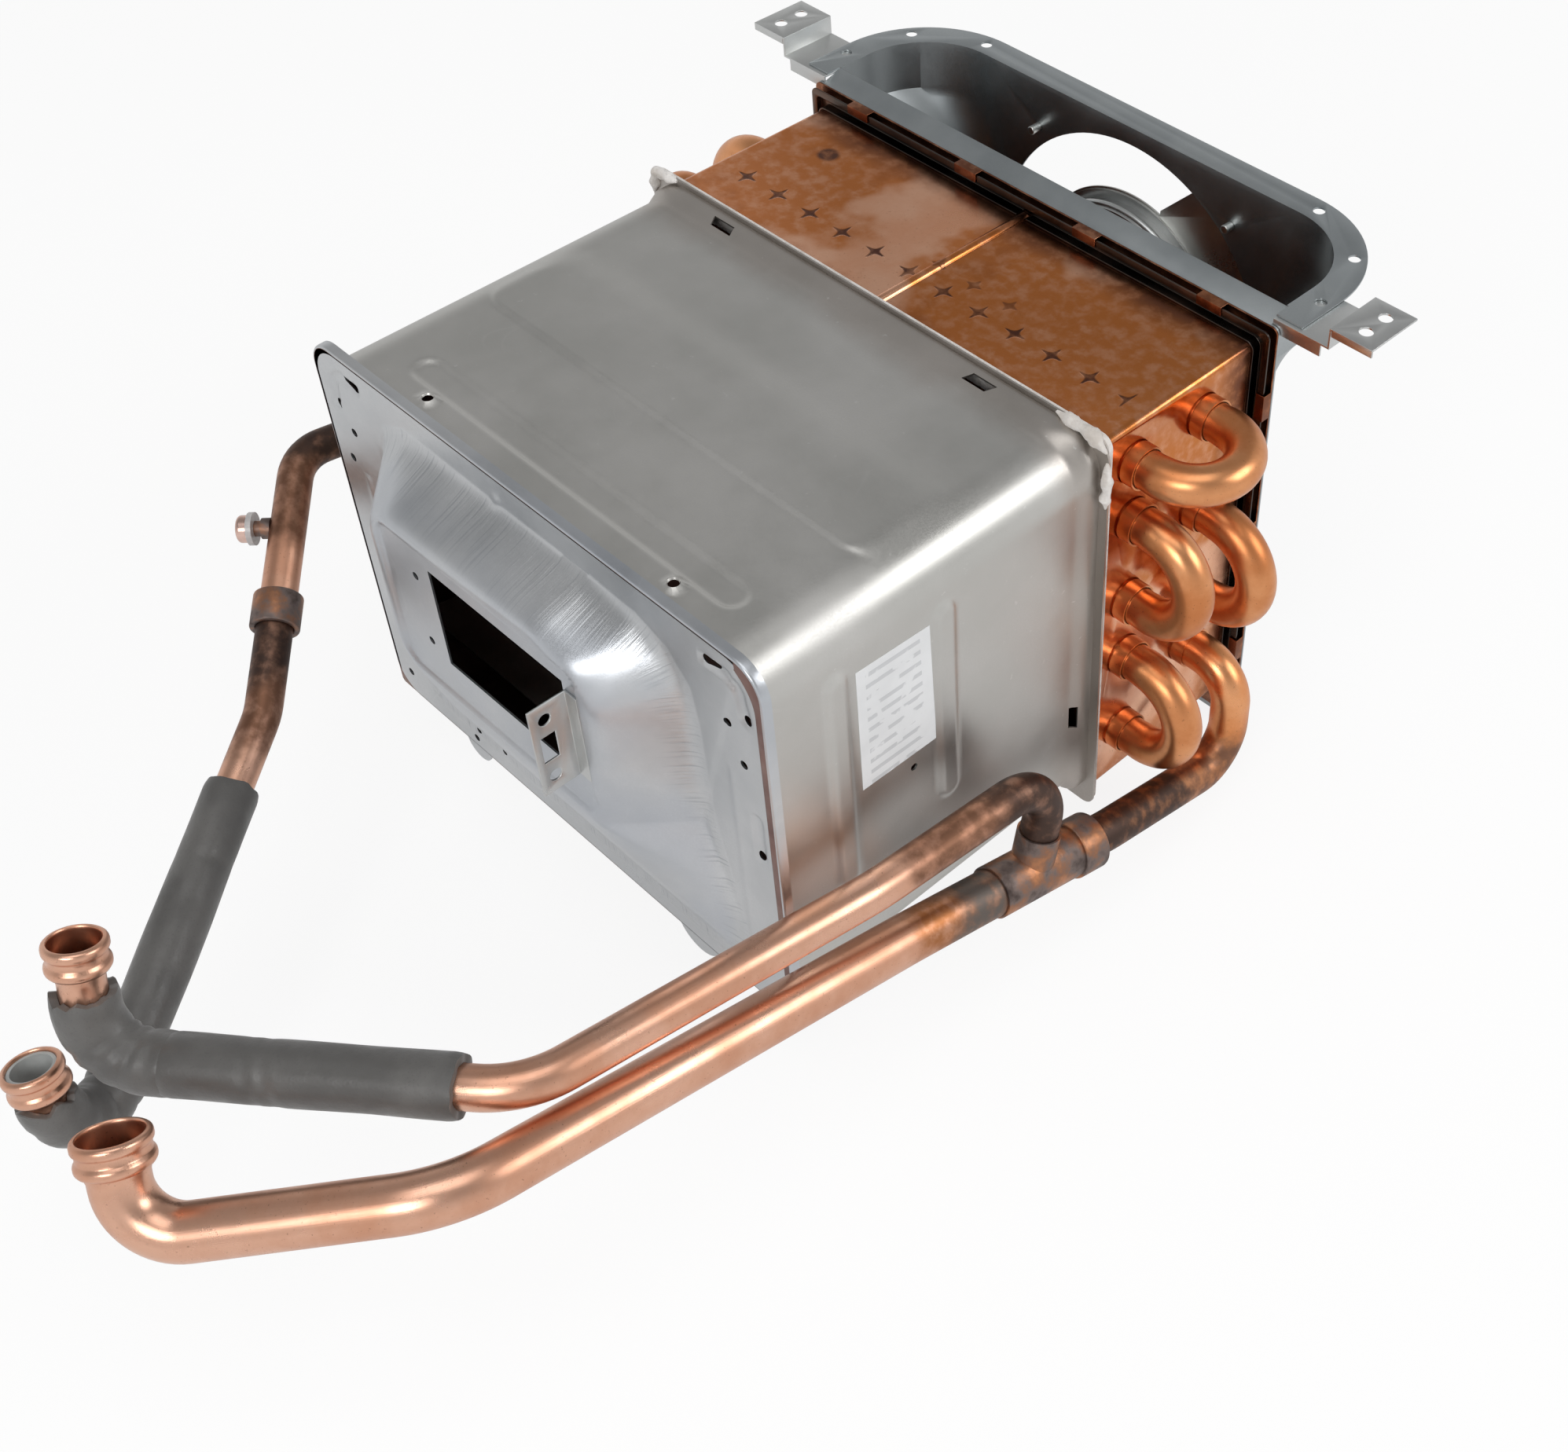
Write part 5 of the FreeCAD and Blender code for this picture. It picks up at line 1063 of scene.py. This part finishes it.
cover_grid = trimmed_grid(
    stations((-126, OPENING[0], 1.25), (OPENING[0], OPENING[1], 1.25), (OPENING[1], 126, 1.2)),
    stations((-111.5, OPENING[2], 1.35), (OPENING[2], OPENING[3], 1.25), (OPENING[3], 78, 1.1)),
    cover_inside, cover_window, False)


def cover_surface(x, z):
    foot, place = outline_distance(x, z, FOOT, 3)
    return place / 100, -foot / 100


sheet("burner_cover_plate", cover_grid, lambda x, z: (x, COVER_FACE - cover_depth(x, z), z), STEEL,
      cover_steel, "galvanised_sheet", ["burner_cover"], burnt_steel, cover_surface)


def loop(half, bottom, top, high, low, part, t):
    """Rounded rectangle from its top left, clockwise; part counts its sides and corners."""
    quarter = np.pi / 2 * t
    side = top - high - bottom - low
    x = np.select([part == k for k in range(8)], [
        -half + high + (2 * half - 2 * high) * t, half - high + high * np.sin(quarter),
        half + 0 * t, half - low + low * np.cos(quarter), half - low - (2 * half - 2 * low) * t,
        -half + low - low * np.sin(quarter), -half + 0 * t, -half + high - high * np.cos(quarter)])
    z = np.select([part == k for k in range(8)], [
        top + 0 * t, top - high + high * np.cos(quarter), top - high - side * t,
        bottom + low - low * np.sin(quarter), bottom + 0 * t, bottom + low - low * np.cos(quarter),
        bottom + low + side * t, top - high + high * np.sin(quarter)])
    return x, z


def loop_lengths(half, bottom, top, high, low):
    side = top - bottom - high - low
    curve, low_curve = high * np.pi / 2, low * np.pi / 2
    return np.array([2 * half - 2 * high, curve, side, low_curve, 2 * half - 2 * low, low_curve,
                     side, curve])


def loop_part(u, lengths):
    """Which side or corner a place round the loop is on, and how far along it."""
    starts = np.cumsum(lengths) - lengths
    part = np.clip(np.searchsorted(starts, u, side="right") - 1, 0, 7)
    return part, (u - starts[part]) / lengths[part]


def loop_grid(lengths, counts, vs, inside=None, window=None):
    """Grid whose first direction runs round a loop, each side and corner in its own steps."""
    starts = np.cumsum(lengths) - lengths
    us = [start + np.arange(n) * length / n for start, length, n in zip(starts, lengths, counts)]
    return trimmed_grid(np.concatenate(us), vs, inside, window, True)


COVER_LOOP = loop_lengths(COVER_HALF, COVER_BOTTOM, COVER_TOP, COVER_CORNER, COVER_CORNER)


def cover_lip(u, v):
    """Folded edge of the cover: rounded over, then straight back."""
    inset = np.interp(v, [0, 1, 2, 3, 4], [1.2, 0.5, 0.12, 0.0, 0.0])
    y = COVER_FACE + np.interp(v, [0, 1, 2, 3, 4], [0.0, 0.12, 0.5, 1.2, 4.0])
    part, t = loop_part(u, COVER_LOOP)
    x, z = loop(COVER_HALF, COVER_BOTTOM, COVER_TOP, COVER_CORNER, COVER_CORNER, part, t)
    mx, mz = loop(COVER_HALF - 4, COVER_BOTTOM + 4, COVER_TOP - 4, COVER_CORNER - 4,
                  COVER_CORNER - 4, part, t)
    share = inset / 4
    wave = 0.12 * np.sin(x / 17 + z / 23) * (v > 3)
    return x + (mx - x) * share, y, z + (mz - z) * share + wave


sheet("burner_cover_lip", loop_grid(COVER_LOOP, [60, 12, 40, 12, 60, 12, 40, 12], np.arange(5.0)),
      cover_lip, STEEL, cover_steel, "galvanised_sheet", [],
      surface=lambda u, v: (u * 0 + 3, v * 0 + 1))

# Combustion chamber

CHAMBER_HALF = 120.0
CHAMBER_END = GASKET_FRONT - STEEL
CHAMBER_CORNERS, FLARE_CORNERS, REAR_CORNERS, FRONT_CORNERS = (20, 10), (16, 12), (12, 6), (12, 2)
FLARE_DROP, REAR_DROP = 8.5, 13.5
FRONT_LEAF, REAR_LEAF = 4, 5
COLLAR_GAP, COLLAR_RISE = 8.9, 1.4
RIB_PRESS, STEP_PRESS, SIDE_PRESS = 1.3, 1.1, 1.5
# Rounded rectangles pressed in: centre, half sizes and corner; then the side ribs' Y, Z and half
TOP_RIB = (4, CHAMBER_FRONT + 19.4, 89, 5.5, 5.5)
TOP_STEP = (1.5, CHAMBER_FRONT + 80.4, 105.5, 21, 12)
SIDE_RIBS = ((CHAMBER_FRONT + 32.4, -4.5, 53), (CHAMBER_FRONT + 82.4, -0.5, 48))
SIDE_RIB_HALF = 4.5
CHAMBER_LOOP = loop_lengths(CHAMBER_HALF, CHAMBER_BOTTOM, CHAMBER_TOP, *CHAMBER_CORNERS)
COLLARS = (-64.6, 71.2)
COLLAR_BORE = 2.4
SIDE_HOLE_Z, SIDE_HOLE_Y, SIDE_HOLE_RADIUS = -21.2, -244.7, 1.6
# Lanced windows: half length, then the top ones' X, Y and half width, and the side one's Z
LANCE_HALF = 5.5
TOP_LANCES, TOP_LANCE_Y, TOP_LANCE_WIDTH = (-71, 66), -158.5, 2.2
SIDE_LANCE, SIDE_LANCE_Y, SIDE_LANCE_WIDTH = -58.5, -160.5, 2.6


def top_and_side(u):
    """X on the chamber's flat top and Z on its right side, far away elsewhere."""
    side = CHAMBER_LOOP[0] + CHAMBER_LOOP[1]
    x = np.where(u < CHAMBER_LOOP[0], u - 100, 1e4)
    z = np.where((u > side) & (u < side + CHAMBER_LOOP[2]), CHAMBER_TOP - 20 - (u - side), 1e4)
    return x, z


def chamber_inside(u, v):
    """Distance outside the round holes of the chamber."""
    x, z = top_and_side(u)
    d = np.hypot(z - SIDE_HOLE_Z, v - SIDE_HOLE_Y) - SIDE_HOLE_RADIUS
    for place in COLLARS:
        d = np.minimum(d, np.hypot(x - place, v - CHAMBER_FRONT - COLLAR_GAP) - COLLAR_BORE)
    return d


def chamber_window(u, v):
    """Lanced windows beside the rear flange."""
    x, z = top_and_side(u)
    left, right = (np.abs(x - place) < LANCE_HALF for place in TOP_LANCES)
    top = (np.abs(v - TOP_LANCE_Y) < TOP_LANCE_WIDTH) & (left | right)
    side = (np.abs(v - SIDE_LANCE_Y) < SIDE_LANCE_WIDTH) & (np.abs(z - SIDE_LANCE) < LANCE_HALF)
    return top | side


def side_wave(y, z):
    """Slight waviness of the chamber's right side."""
    return 0.2 * np.sin(z / 31) * np.sin(y / 27 + 1)


def chamber_place(u, v):
    """Body, flare and the two flanges of the chamber, with everything pressed into it."""
    part, t = loop_part(u, CHAMBER_LOOP)
    bx, bz = loop(CHAMBER_HALF, CHAMBER_BOTTOM, CHAMBER_TOP, *CHAMBER_CORNERS, part, t)
    fx, fz = loop(CHAMBER_HALF + 1, CHAMBER_BOTTOM - FLARE_DROP, CHAMBER_TOP + 1, *FLARE_CORNERS,
                  part, t)
    ex, ez = loop(COVER_HALF, CHAMBER_BOTTOM - REAR_DROP, FRAME_TOP, *REAR_CORNERS, part, t)
    share = smooth((v - FLARE_FRONT - 3) / 9)
    x, z, y = bx + (fx - bx) * share, bz + (fz - bz) * share, np.minimum(v, CHAMBER_END)
    out = np.clip((v - CHAMBER_END) / REAR_LEAF, 0, 1)
    x, z = x + (ex - x) * out, z + (ez - z) * out
    dx, dz = loop(COVER_HALF - 1, COVER_BOTTOM + 1, COVER_TOP - 1, *FRONT_CORNERS, part, t)
    out = np.clip((CHAMBER_FRONT - v) / FRONT_LEAF, 0, 1)
    x, z, y = x + (dx - x) * out, z + (dz - z) * out, np.maximum(y, CHAMBER_FRONT - STEEL)
    body = (v > CHAMBER_FRONT) & (v < CHAMBER_END)
    top = (z > CHAMBER_TOP - 1) & body
    rib = rect_distance(x, v, *TOP_RIB)
    step = rect_distance(x, v, *TOP_STEP)
    edge = 3.0 + 14 * smooth((v - TOP_STEP[1] + 2) / 14)
    lift = STEP_PRESS * smooth(0.5 - step / edge) - RIB_PRESS * smooth(0.5 - rib / 3.2)
    for place in COLLARS:
        away = np.hypot(x - place, v - CHAMBER_FRONT - COLLAR_GAP)
        lift = lift + COLLAR_RISE * smooth((4.4 - away) / 1.6)
    flat = smooth((x + 112) / 8) * smooth((112 - x) / 8)
    lift = lift + 0.5 * smooth((v - FLARE_FRONT) / 2.5) * flat
    lift = lift + 0.16 * np.sin(x / 37 + 0.6) * np.cos(v / 29)
    lift = lift - 0.5 * smooth((v + 262) / 90) * (1 - smooth((v + 172) / 6))
    z = z + lift * top * smooth((108 - np.abs(x)) / 10)
    side = (x > CHAMBER_HALF - 1) & body
    push = 0
    for rib_y, rib_z, rib_half in SIDE_RIBS:
        rib = rect_distance(z, v, rib_z, rib_y, rib_half, SIDE_RIB_HALF, SIDE_RIB_HALF)
        push = push + SIDE_PRESS * smooth(0.5 - rib / 3.4)
    push = push + side_wave(v, z)
    return x + push * side * smooth((z + 92) / 10), y, z


chamber_grid = loop_grid(CHAMBER_LOOP, [126, 14, 92, 8, 26, 8, 24, 14],
                         stations((CHAMBER_FRONT - 4, CHAMBER_FRONT, 1.3),
                                  (CHAMBER_FRONT, -272, 0.95), (-272, -256, 2.6),
                                  (-256, -246, 0.95), (-246, -234, 1.6), (-234, -222, 0.95),
                                  (-222, -204, 1.6), (-204, -170, 3.2), (-170, CHAMBER_END, 0.9),
                                  (CHAMBER_END, CHAMBER_END + 5, 1.25)), chamber_inside,
                         chamber_window)
sheet("chamber_body", chamber_grid, chamber_place, STEEL, chamber_steel, "galvanised_sheet",
      ["combustion_chamber"], burnt_steel)


LABEL_GAP, LABEL_THICK = 0.12, 0.1
LABEL_FRONT, LABEL_TOP, LABEL_LENGTH, LABEL_HEIGHT = -269.0, 44.0, 34.0, 58.0


def label_place(u, v):
    """Paper label stuck to the chamber's right side, a hair above the sheet."""
    y = LABEL_FRONT + LABEL_LENGTH * u + 1.5 * v * u
    z = LABEL_TOP - 1.6 * u - LABEL_HEIGHT * v + 1.2 * u * v
    return CHAMBER_HALF + side_wave(y, z) + LABEL_GAP, y, z


label_grid = trimmed_grid(np.linspace(0, 1, 12), np.linspace(1, 0, 20), None, None, False)
sheet("side_label", label_grid, label_place, LABEL_THICK, label_paper, None, [],
      surface=lambda u, v: (u, v))


# Pieces dressed from the CAD nodes: merged, with their flat faces joined and their edges eased

FLAT_ANGLE = math.radians(0.4)
EASED_ANGLE = math.radians(30)


def dressed(node, name, material, slot, ease):
    """CAD node with its own mesh and finish, its sharp edges eased by millimetres."""
    bm = bmesh.new()
    bm.from_mesh(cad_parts[node].data)
    bmesh.ops.remove_doubles(bm, verts=bm.verts, dist=1e-6)
    bmesh.ops.dissolve_limit(bm, angle_limit=FLAT_ANGLE, verts=bm.verts, edges=bm.edges)
    sharp = [e for e in bm.edges if e.is_manifold and e.calc_face_angle() > EASED_ANGLE]
    bmesh.ops.bevel(bm, geom=sharp, offset=ease * MM, segments=2, profile=0.6,
                    affect="EDGES", clamp_overlap=True)
    mesh = bpy.data.meshes.new(name)
    bm.to_mesh(mesh)
    bm.free()
    return finish_piece(smoothed(name, mesh, material, 40), slot, node)


for dressing in (("flue_hood", "hood_sheet_body", hood_steel, "hood_sheet", 0.22),
                 ("hood_bracket_right", "right_bracket", bracket_steel, "hood_sheet", 0.3),
                 ("hood_bracket_left", "left_bracket", bracket_steel, "hood_sheet", 0.3),
                 ("cover_bracket", "leaf_bracket", bracket_steel, "galvanised_sheet", 0.25),
                 ("fin_body_shell", "copper_block_shell", shell_copper, "bright_copper", 0.18),
                 ("seal_frame", "clamping_frame", scorched_frame, "dark_frame", 0.2),
                 ("collar_plate", "ring_carrier", screw_steel, "galvanised_sheet", 0.2),
                 ("hood_screws", "wall_screws", screw_steel, "screw_steel", 0.5),
                 ("pipe_tee", "brazed_tee", brazed_copper, "burnt_copper", 0.5),
                 ("socket_collar", "outlet_socket", brazed_copper, "burnt_copper", 0.5),
                 ("brazed_collar", "side_joint_collar", brazed_copper, "burnt_copper", 0.6)):
    dressed(*dressing)


def fibre_lump(name, corners, radius, seed):
    """Lump of gasket fibre squeezed out along a path."""
    places, ways = route(corners, [2.0] * (len(corners) - 2), 1.2)
    total = len(places) - 1
    outer = []
    for i, place in enumerate(places):
        end = min(i, total - i) / 5
        swell = 0.75 + 0.35 * noise.noise(place * 0.21 + Vector((seed, 0, 0)))
        outer.append(max(0.25, radius * swell * min(1, 0.25 + end)))

    def shape(length, angle, r, outside):
        if outside:
            spot = Vector((length * 0.35, math.cos(angle) * 0.8 + seed, math.sin(angle) * 0.8))
            r *= 1 + 0.4 * noise.noise(spot)
        return r, 0.0

    piece = tube(name, places, ways, outer, [FIBRE_BORE] * len(places), white_fibre, 20, shape)
    return finish_piece(piece, "white_fibre")


FIBRE_BORE = 0.12
rear = GASKET_FRONT - 1.2
fibre_lump("fibre_right_top", [(100, rear, FRAME_TOP - 0.6), (118, rear - 0.4, FRAME_TOP - 0.9),
                               (124, rear, FRAME_TOP - 6)], 3.0, 3)
fibre_lump("fibre_right_side", [(124.4, rear, FRAME_TOP - 10), (124.8, rear - 0.3, FRAME_TOP - 20),
                                (124.5, rear, FRAME_TOP - 31)], 2.4, 7)
fibre_lump("fibre_left_top", [(-124, rear, FRAME_TOP - 12), (-121, rear, FRAME_TOP - 1.5),
                              (-108, rear, FRAME_TOP - 0.6)], 3.0, 11)

# Foam on the pipes


def foam_shape(total, seed, torn, wrinkles):
    """Soft foam: slow swells, wrinkles given as (place, width, depth), ragged ends."""
    def shape(length, angle, r, outside):
        spot = Vector((length * 0.035, math.cos(angle) * 0.6 + seed, math.sin(angle) * 0.6))
        if outside:
            r += 0.55 * noise.noise(spot)
            for place, width, depth in wrinkles:
                lean = place + 2.2 * math.sin(angle + seed)
                r -= depth * math.exp(-((length - lean) / width) ** 2) * (
                    0.55 + 0.45 * math.cos(angle * 2 + place))
        near_start, near_end = max(0.0, 1 - length / 4), max(0.0, 1 - (total - length) / 4)
        jag = noise.noise(Vector((math.cos(angle) * 2.2 + seed, math.sin(angle) * 2.2, seed)))
        return r, near_start * jag * torn[0] - near_end * jag * torn[1]
    return shape


SLEEVE_WALL, WRAP_WALL = 3.0, 3.1


def foam(name, node, points, radii, inner, thick, seed, torn, wrinkles):
    """Foam tube round a pipe, its ends drawn in a little."""
    places, ways = route(points, radii, 1.6)
    total = sum((b - a).length for a, b in zip(places, places[1:]))
    outer = [inner + thick] * len(places)
    for i in (0, 1, -1, -2):
        outer[i] -= 0.5 if i in (0, -1) else 0.15
    piece = tube(name, places, ways, outer, [inner] * len(places), grey_foam, 40,
                 foam_shape(total, seed, torn, wrinkles))
    finish_piece(piece, "grey_foam", node)


def towards(a, b, distance):
    return a + (b - a).normalized() * distance


bend, turn, tip = branch_points[3], branch_points[4], branch_points[5]
foam("branch_foam", "branch_sleeve", [towards(bend, turn, 20), towards(turn, bend, 25)], [],
     BRANCH_RADIUS + 0.1, SLEEVE_WALL, 2.0, (0.8, 1.0), ((62, 2.0, 0.7), (68, 1.6, 0.6)))
foam("branch_foam_elbow", "branch_elbow_wrap",
     [towards(turn, bend, 27), turn, towards(turn, tip, 25)], [20], BRANCH_RADIUS + 0.15,
     WRAP_WALL, 5.0, (2.2, 3.2), ((4, 1.6, 0.8), (12, 2.0, 0.9), (19, 1.8, 1.0), (25, 1.4, 0.8)))
bend, turn, tip = lower_points[1], lower_points[2], lower_points[3]
foam("side_foam", "side_sleeve", [towards(bend, turn, 32), towards(turn, bend, 33)], [],
     SIDE_RADIUS + 0.1, SLEEVE_WALL, 9.0, (0.9, 1.2), ((30, 2.5, 0.4),))
foam("side_foam_elbow", "side_elbow_wrap",
     [towards(turn, bend, 35), turn, towards(turn, tip, 32)], [20], SIDE_RADIUS + 0.15, WRAP_WALL,
     13.0, (2.0, 3.5), ((8, 1.8, 0.8), (18, 2.0, 1.0), (26, 1.8, 1.0), (34, 1.5, 0.8)))


# Camera and light

FOCAL_LENGTH = 48.83
CAMERA_SHIFT = (-0.1441, -0.0620)
CAMERA_TURN = (43.85, 44.53, 0.44)
CAMERA_PLACE = (493.8, -585.1, 544.2)
FLOOR_HALF = 6
FLOOR_GAP = 0.0005
# The floor's glow, and its shares of what the camera and what mirroring metal see
FLOOR_GLOW, FLOOR_SHOWN, FLOOR_MIRRORED = 1.05, 0.82, 0.36


def make_camera():
    """Camera at the photograph's angle."""
    data = bpy.data.cameras.new("Camera")
    camera = linked("Camera", data)
    data.sensor_width = 36
    data.lens = FOCAL_LENGTH
    data.shift_x, data.shift_y = CAMERA_SHIFT
    data.clip_start = 0.05
    data.clip_end = 30
    azimuth, elevation, roll = (math.radians(a) for a in CAMERA_TURN)
    back = Vector((math.sin(azimuth) * math.cos(elevation),
                   -math.cos(azimuth) * math.cos(elevation), math.sin(elevation)))
    right = Vector((math.cos(azimuth), math.sin(azimuth), 0))
    up = back.cross(right)
    turned_right = right * math.cos(roll) + up * math.sin(roll)
    turned_up = up * math.cos(roll) - right * math.sin(roll)
    turn = Matrix((turned_right, turned_up, back)).transposed().to_4x4()
    camera.matrix_world = Matrix.Translation(Vector(CAMERA_PLACE) * MM) @ turn
    bpy.context.scene.camera = camera


def make_floor():
    """Pale floor that shows white to the camera and keeps a soft shadow."""
    corners = [(x * FLOOR_HALF, y * FLOOR_HALF, cad_low.z - FLOOR_GAP)
               for x, y in ((-1, -1), (1, -1), (1, 1), (-1, 1))]
    mesh = bpy.data.meshes.new("floor")
    mesh.from_pydata(corners, [], [(0, 1, 2, 3)])
    floor = linked("floor", mesh)
    material = bpy.data.materials.new("pale_floor")
    tree = tree_of(material)
    out = tree.nodes.new("ShaderNodeOutputMaterial")
    cloth = add(tree, "ShaderNodeBsdfDiffuse", {"Color": grey(0.8)})
    glow = add(tree, "ShaderNodeEmission", {"Color": grey(1.0), "Strength": FLOOR_GLOW})
    rays = add(tree, "ShaderNodeLightPath")
    shown = times(tree, rays.outputs["Is Camera Ray"], FLOOR_SHOWN)
    mirrored = times(tree, rays.outputs["Is Glossy Ray"], FLOOR_MIRRORED)
    part = math_node(tree, "ADD", shown, mirrored, clamp=True)
    both = add(tree, "ShaderNodeMixShader", {0: part, 1: cloth.outputs[0], 2: glow.outputs[0]})
    tree.links.new(both.outputs[0], out.inputs["Surface"])
    mesh.materials.append(material)


def make_world():
    """Studio surround: white low down, dimmer overhead, pure white where the camera looks."""
    world = bpy.data.worlds.new("studio")
    bpy.context.scene.world = world
    tree = tree_of(world)
    out = tree.nodes.new("ShaderNodeOutputWorld")
    way = add(tree, "ShaderNodeTexCoord").outputs["Generated"]
    height = add(tree, "ShaderNodeSeparateXYZ", {"Vector": way}).outputs["Z"]
    lift = ranged(tree, height, -1.0, 1.0, smooth=False)
    surround = ramp(tree, lift, [(0.0, grey(0.8)), (0.5, grey(0.82)), (0.62, grey(0.66)),
                                 (0.80, grey(0.36)), (1.0, grey(0.30))])
    rays = add(tree, "ShaderNodeLightPath")
    colour = mixed(tree, rays.outputs["Is Camera Ray"], surround, grey(1.0))
    light = add(tree, "ShaderNodeBackground", {"Color": colour, "Strength": 1.0})
    tree.links.new(light.outputs[0], out.inputs["Surface"])


def area_light(name, place, aim, width, height, power):
    """Rectangular lamp turned towards its aim."""
    data = bpy.data.lights.new(name, "AREA")
    data.shape = "RECTANGLE"
    data.size, data.size_y = width, height
    data.energy = power
    lamp = linked(name, data)
    lamp.location = place
    lamp.rotation_euler = (Vector(aim) - Vector(place)).to_track_quat("-Z", "Y").to_euler()


make_camera()
make_floor()
make_world()
for softbox in (("overhead_softbox", (0.3, -0.5, 2.0), (0, -0.25, 0), 1.6, 1.2, 9),
                ("right_softbox", (1.35, 0.75, 0.95), (0, -0.2, 0), 0.9, 0.8, 9),
                ("front_softbox", (0.75, -1.6, 1.05), (0, -0.3, 0), 0.8, 0.6, 10)):
    area_light(*softbox)

bpy.context.scene.view_settings.view_transform = "Standard"

# Finishes of the nodes that stay as they are

NODE_FINISH = {
    "burner_cover": chamber_steel, "cover_bracket": bracket_steel,
    "combustion_chamber": chamber_steel, "inner_baffle": baffle_steel,
    "chamber_gasket": white_fibre, "fin_body_shell": shell_copper, "fin_pack": fin_copper,
    "exchange_tubes": bright_copper, "seal_frame": scorched_frame, "flue_hood": hood_steel,
    "hood_bracket_right": bracket_steel, "hood_bracket_left": bracket_steel,
    "collar_plate": bracket_steel, "flue_ring": bracket_steel, "hood_screws": screw_steel,
    "pipe_tee": brazed_copper, "socket_collar": brazed_copper, "brazed_collar": brazed_copper,
    "pipe_liner": grey_liner, "sensor_stub": brazed_copper, "stub_cap": cap_copper,
    "cap_ring": clear_ring, "branch_sleeve": grey_foam, "branch_elbow_wrap": grey_foam,
    "side_sleeve": grey_foam, "side_elbow_wrap": grey_foam,
}
for node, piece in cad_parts.items():
    piece.data.materials.clear()
    piece.data.materials.append(NODE_FINISH.get(node, bright_copper))
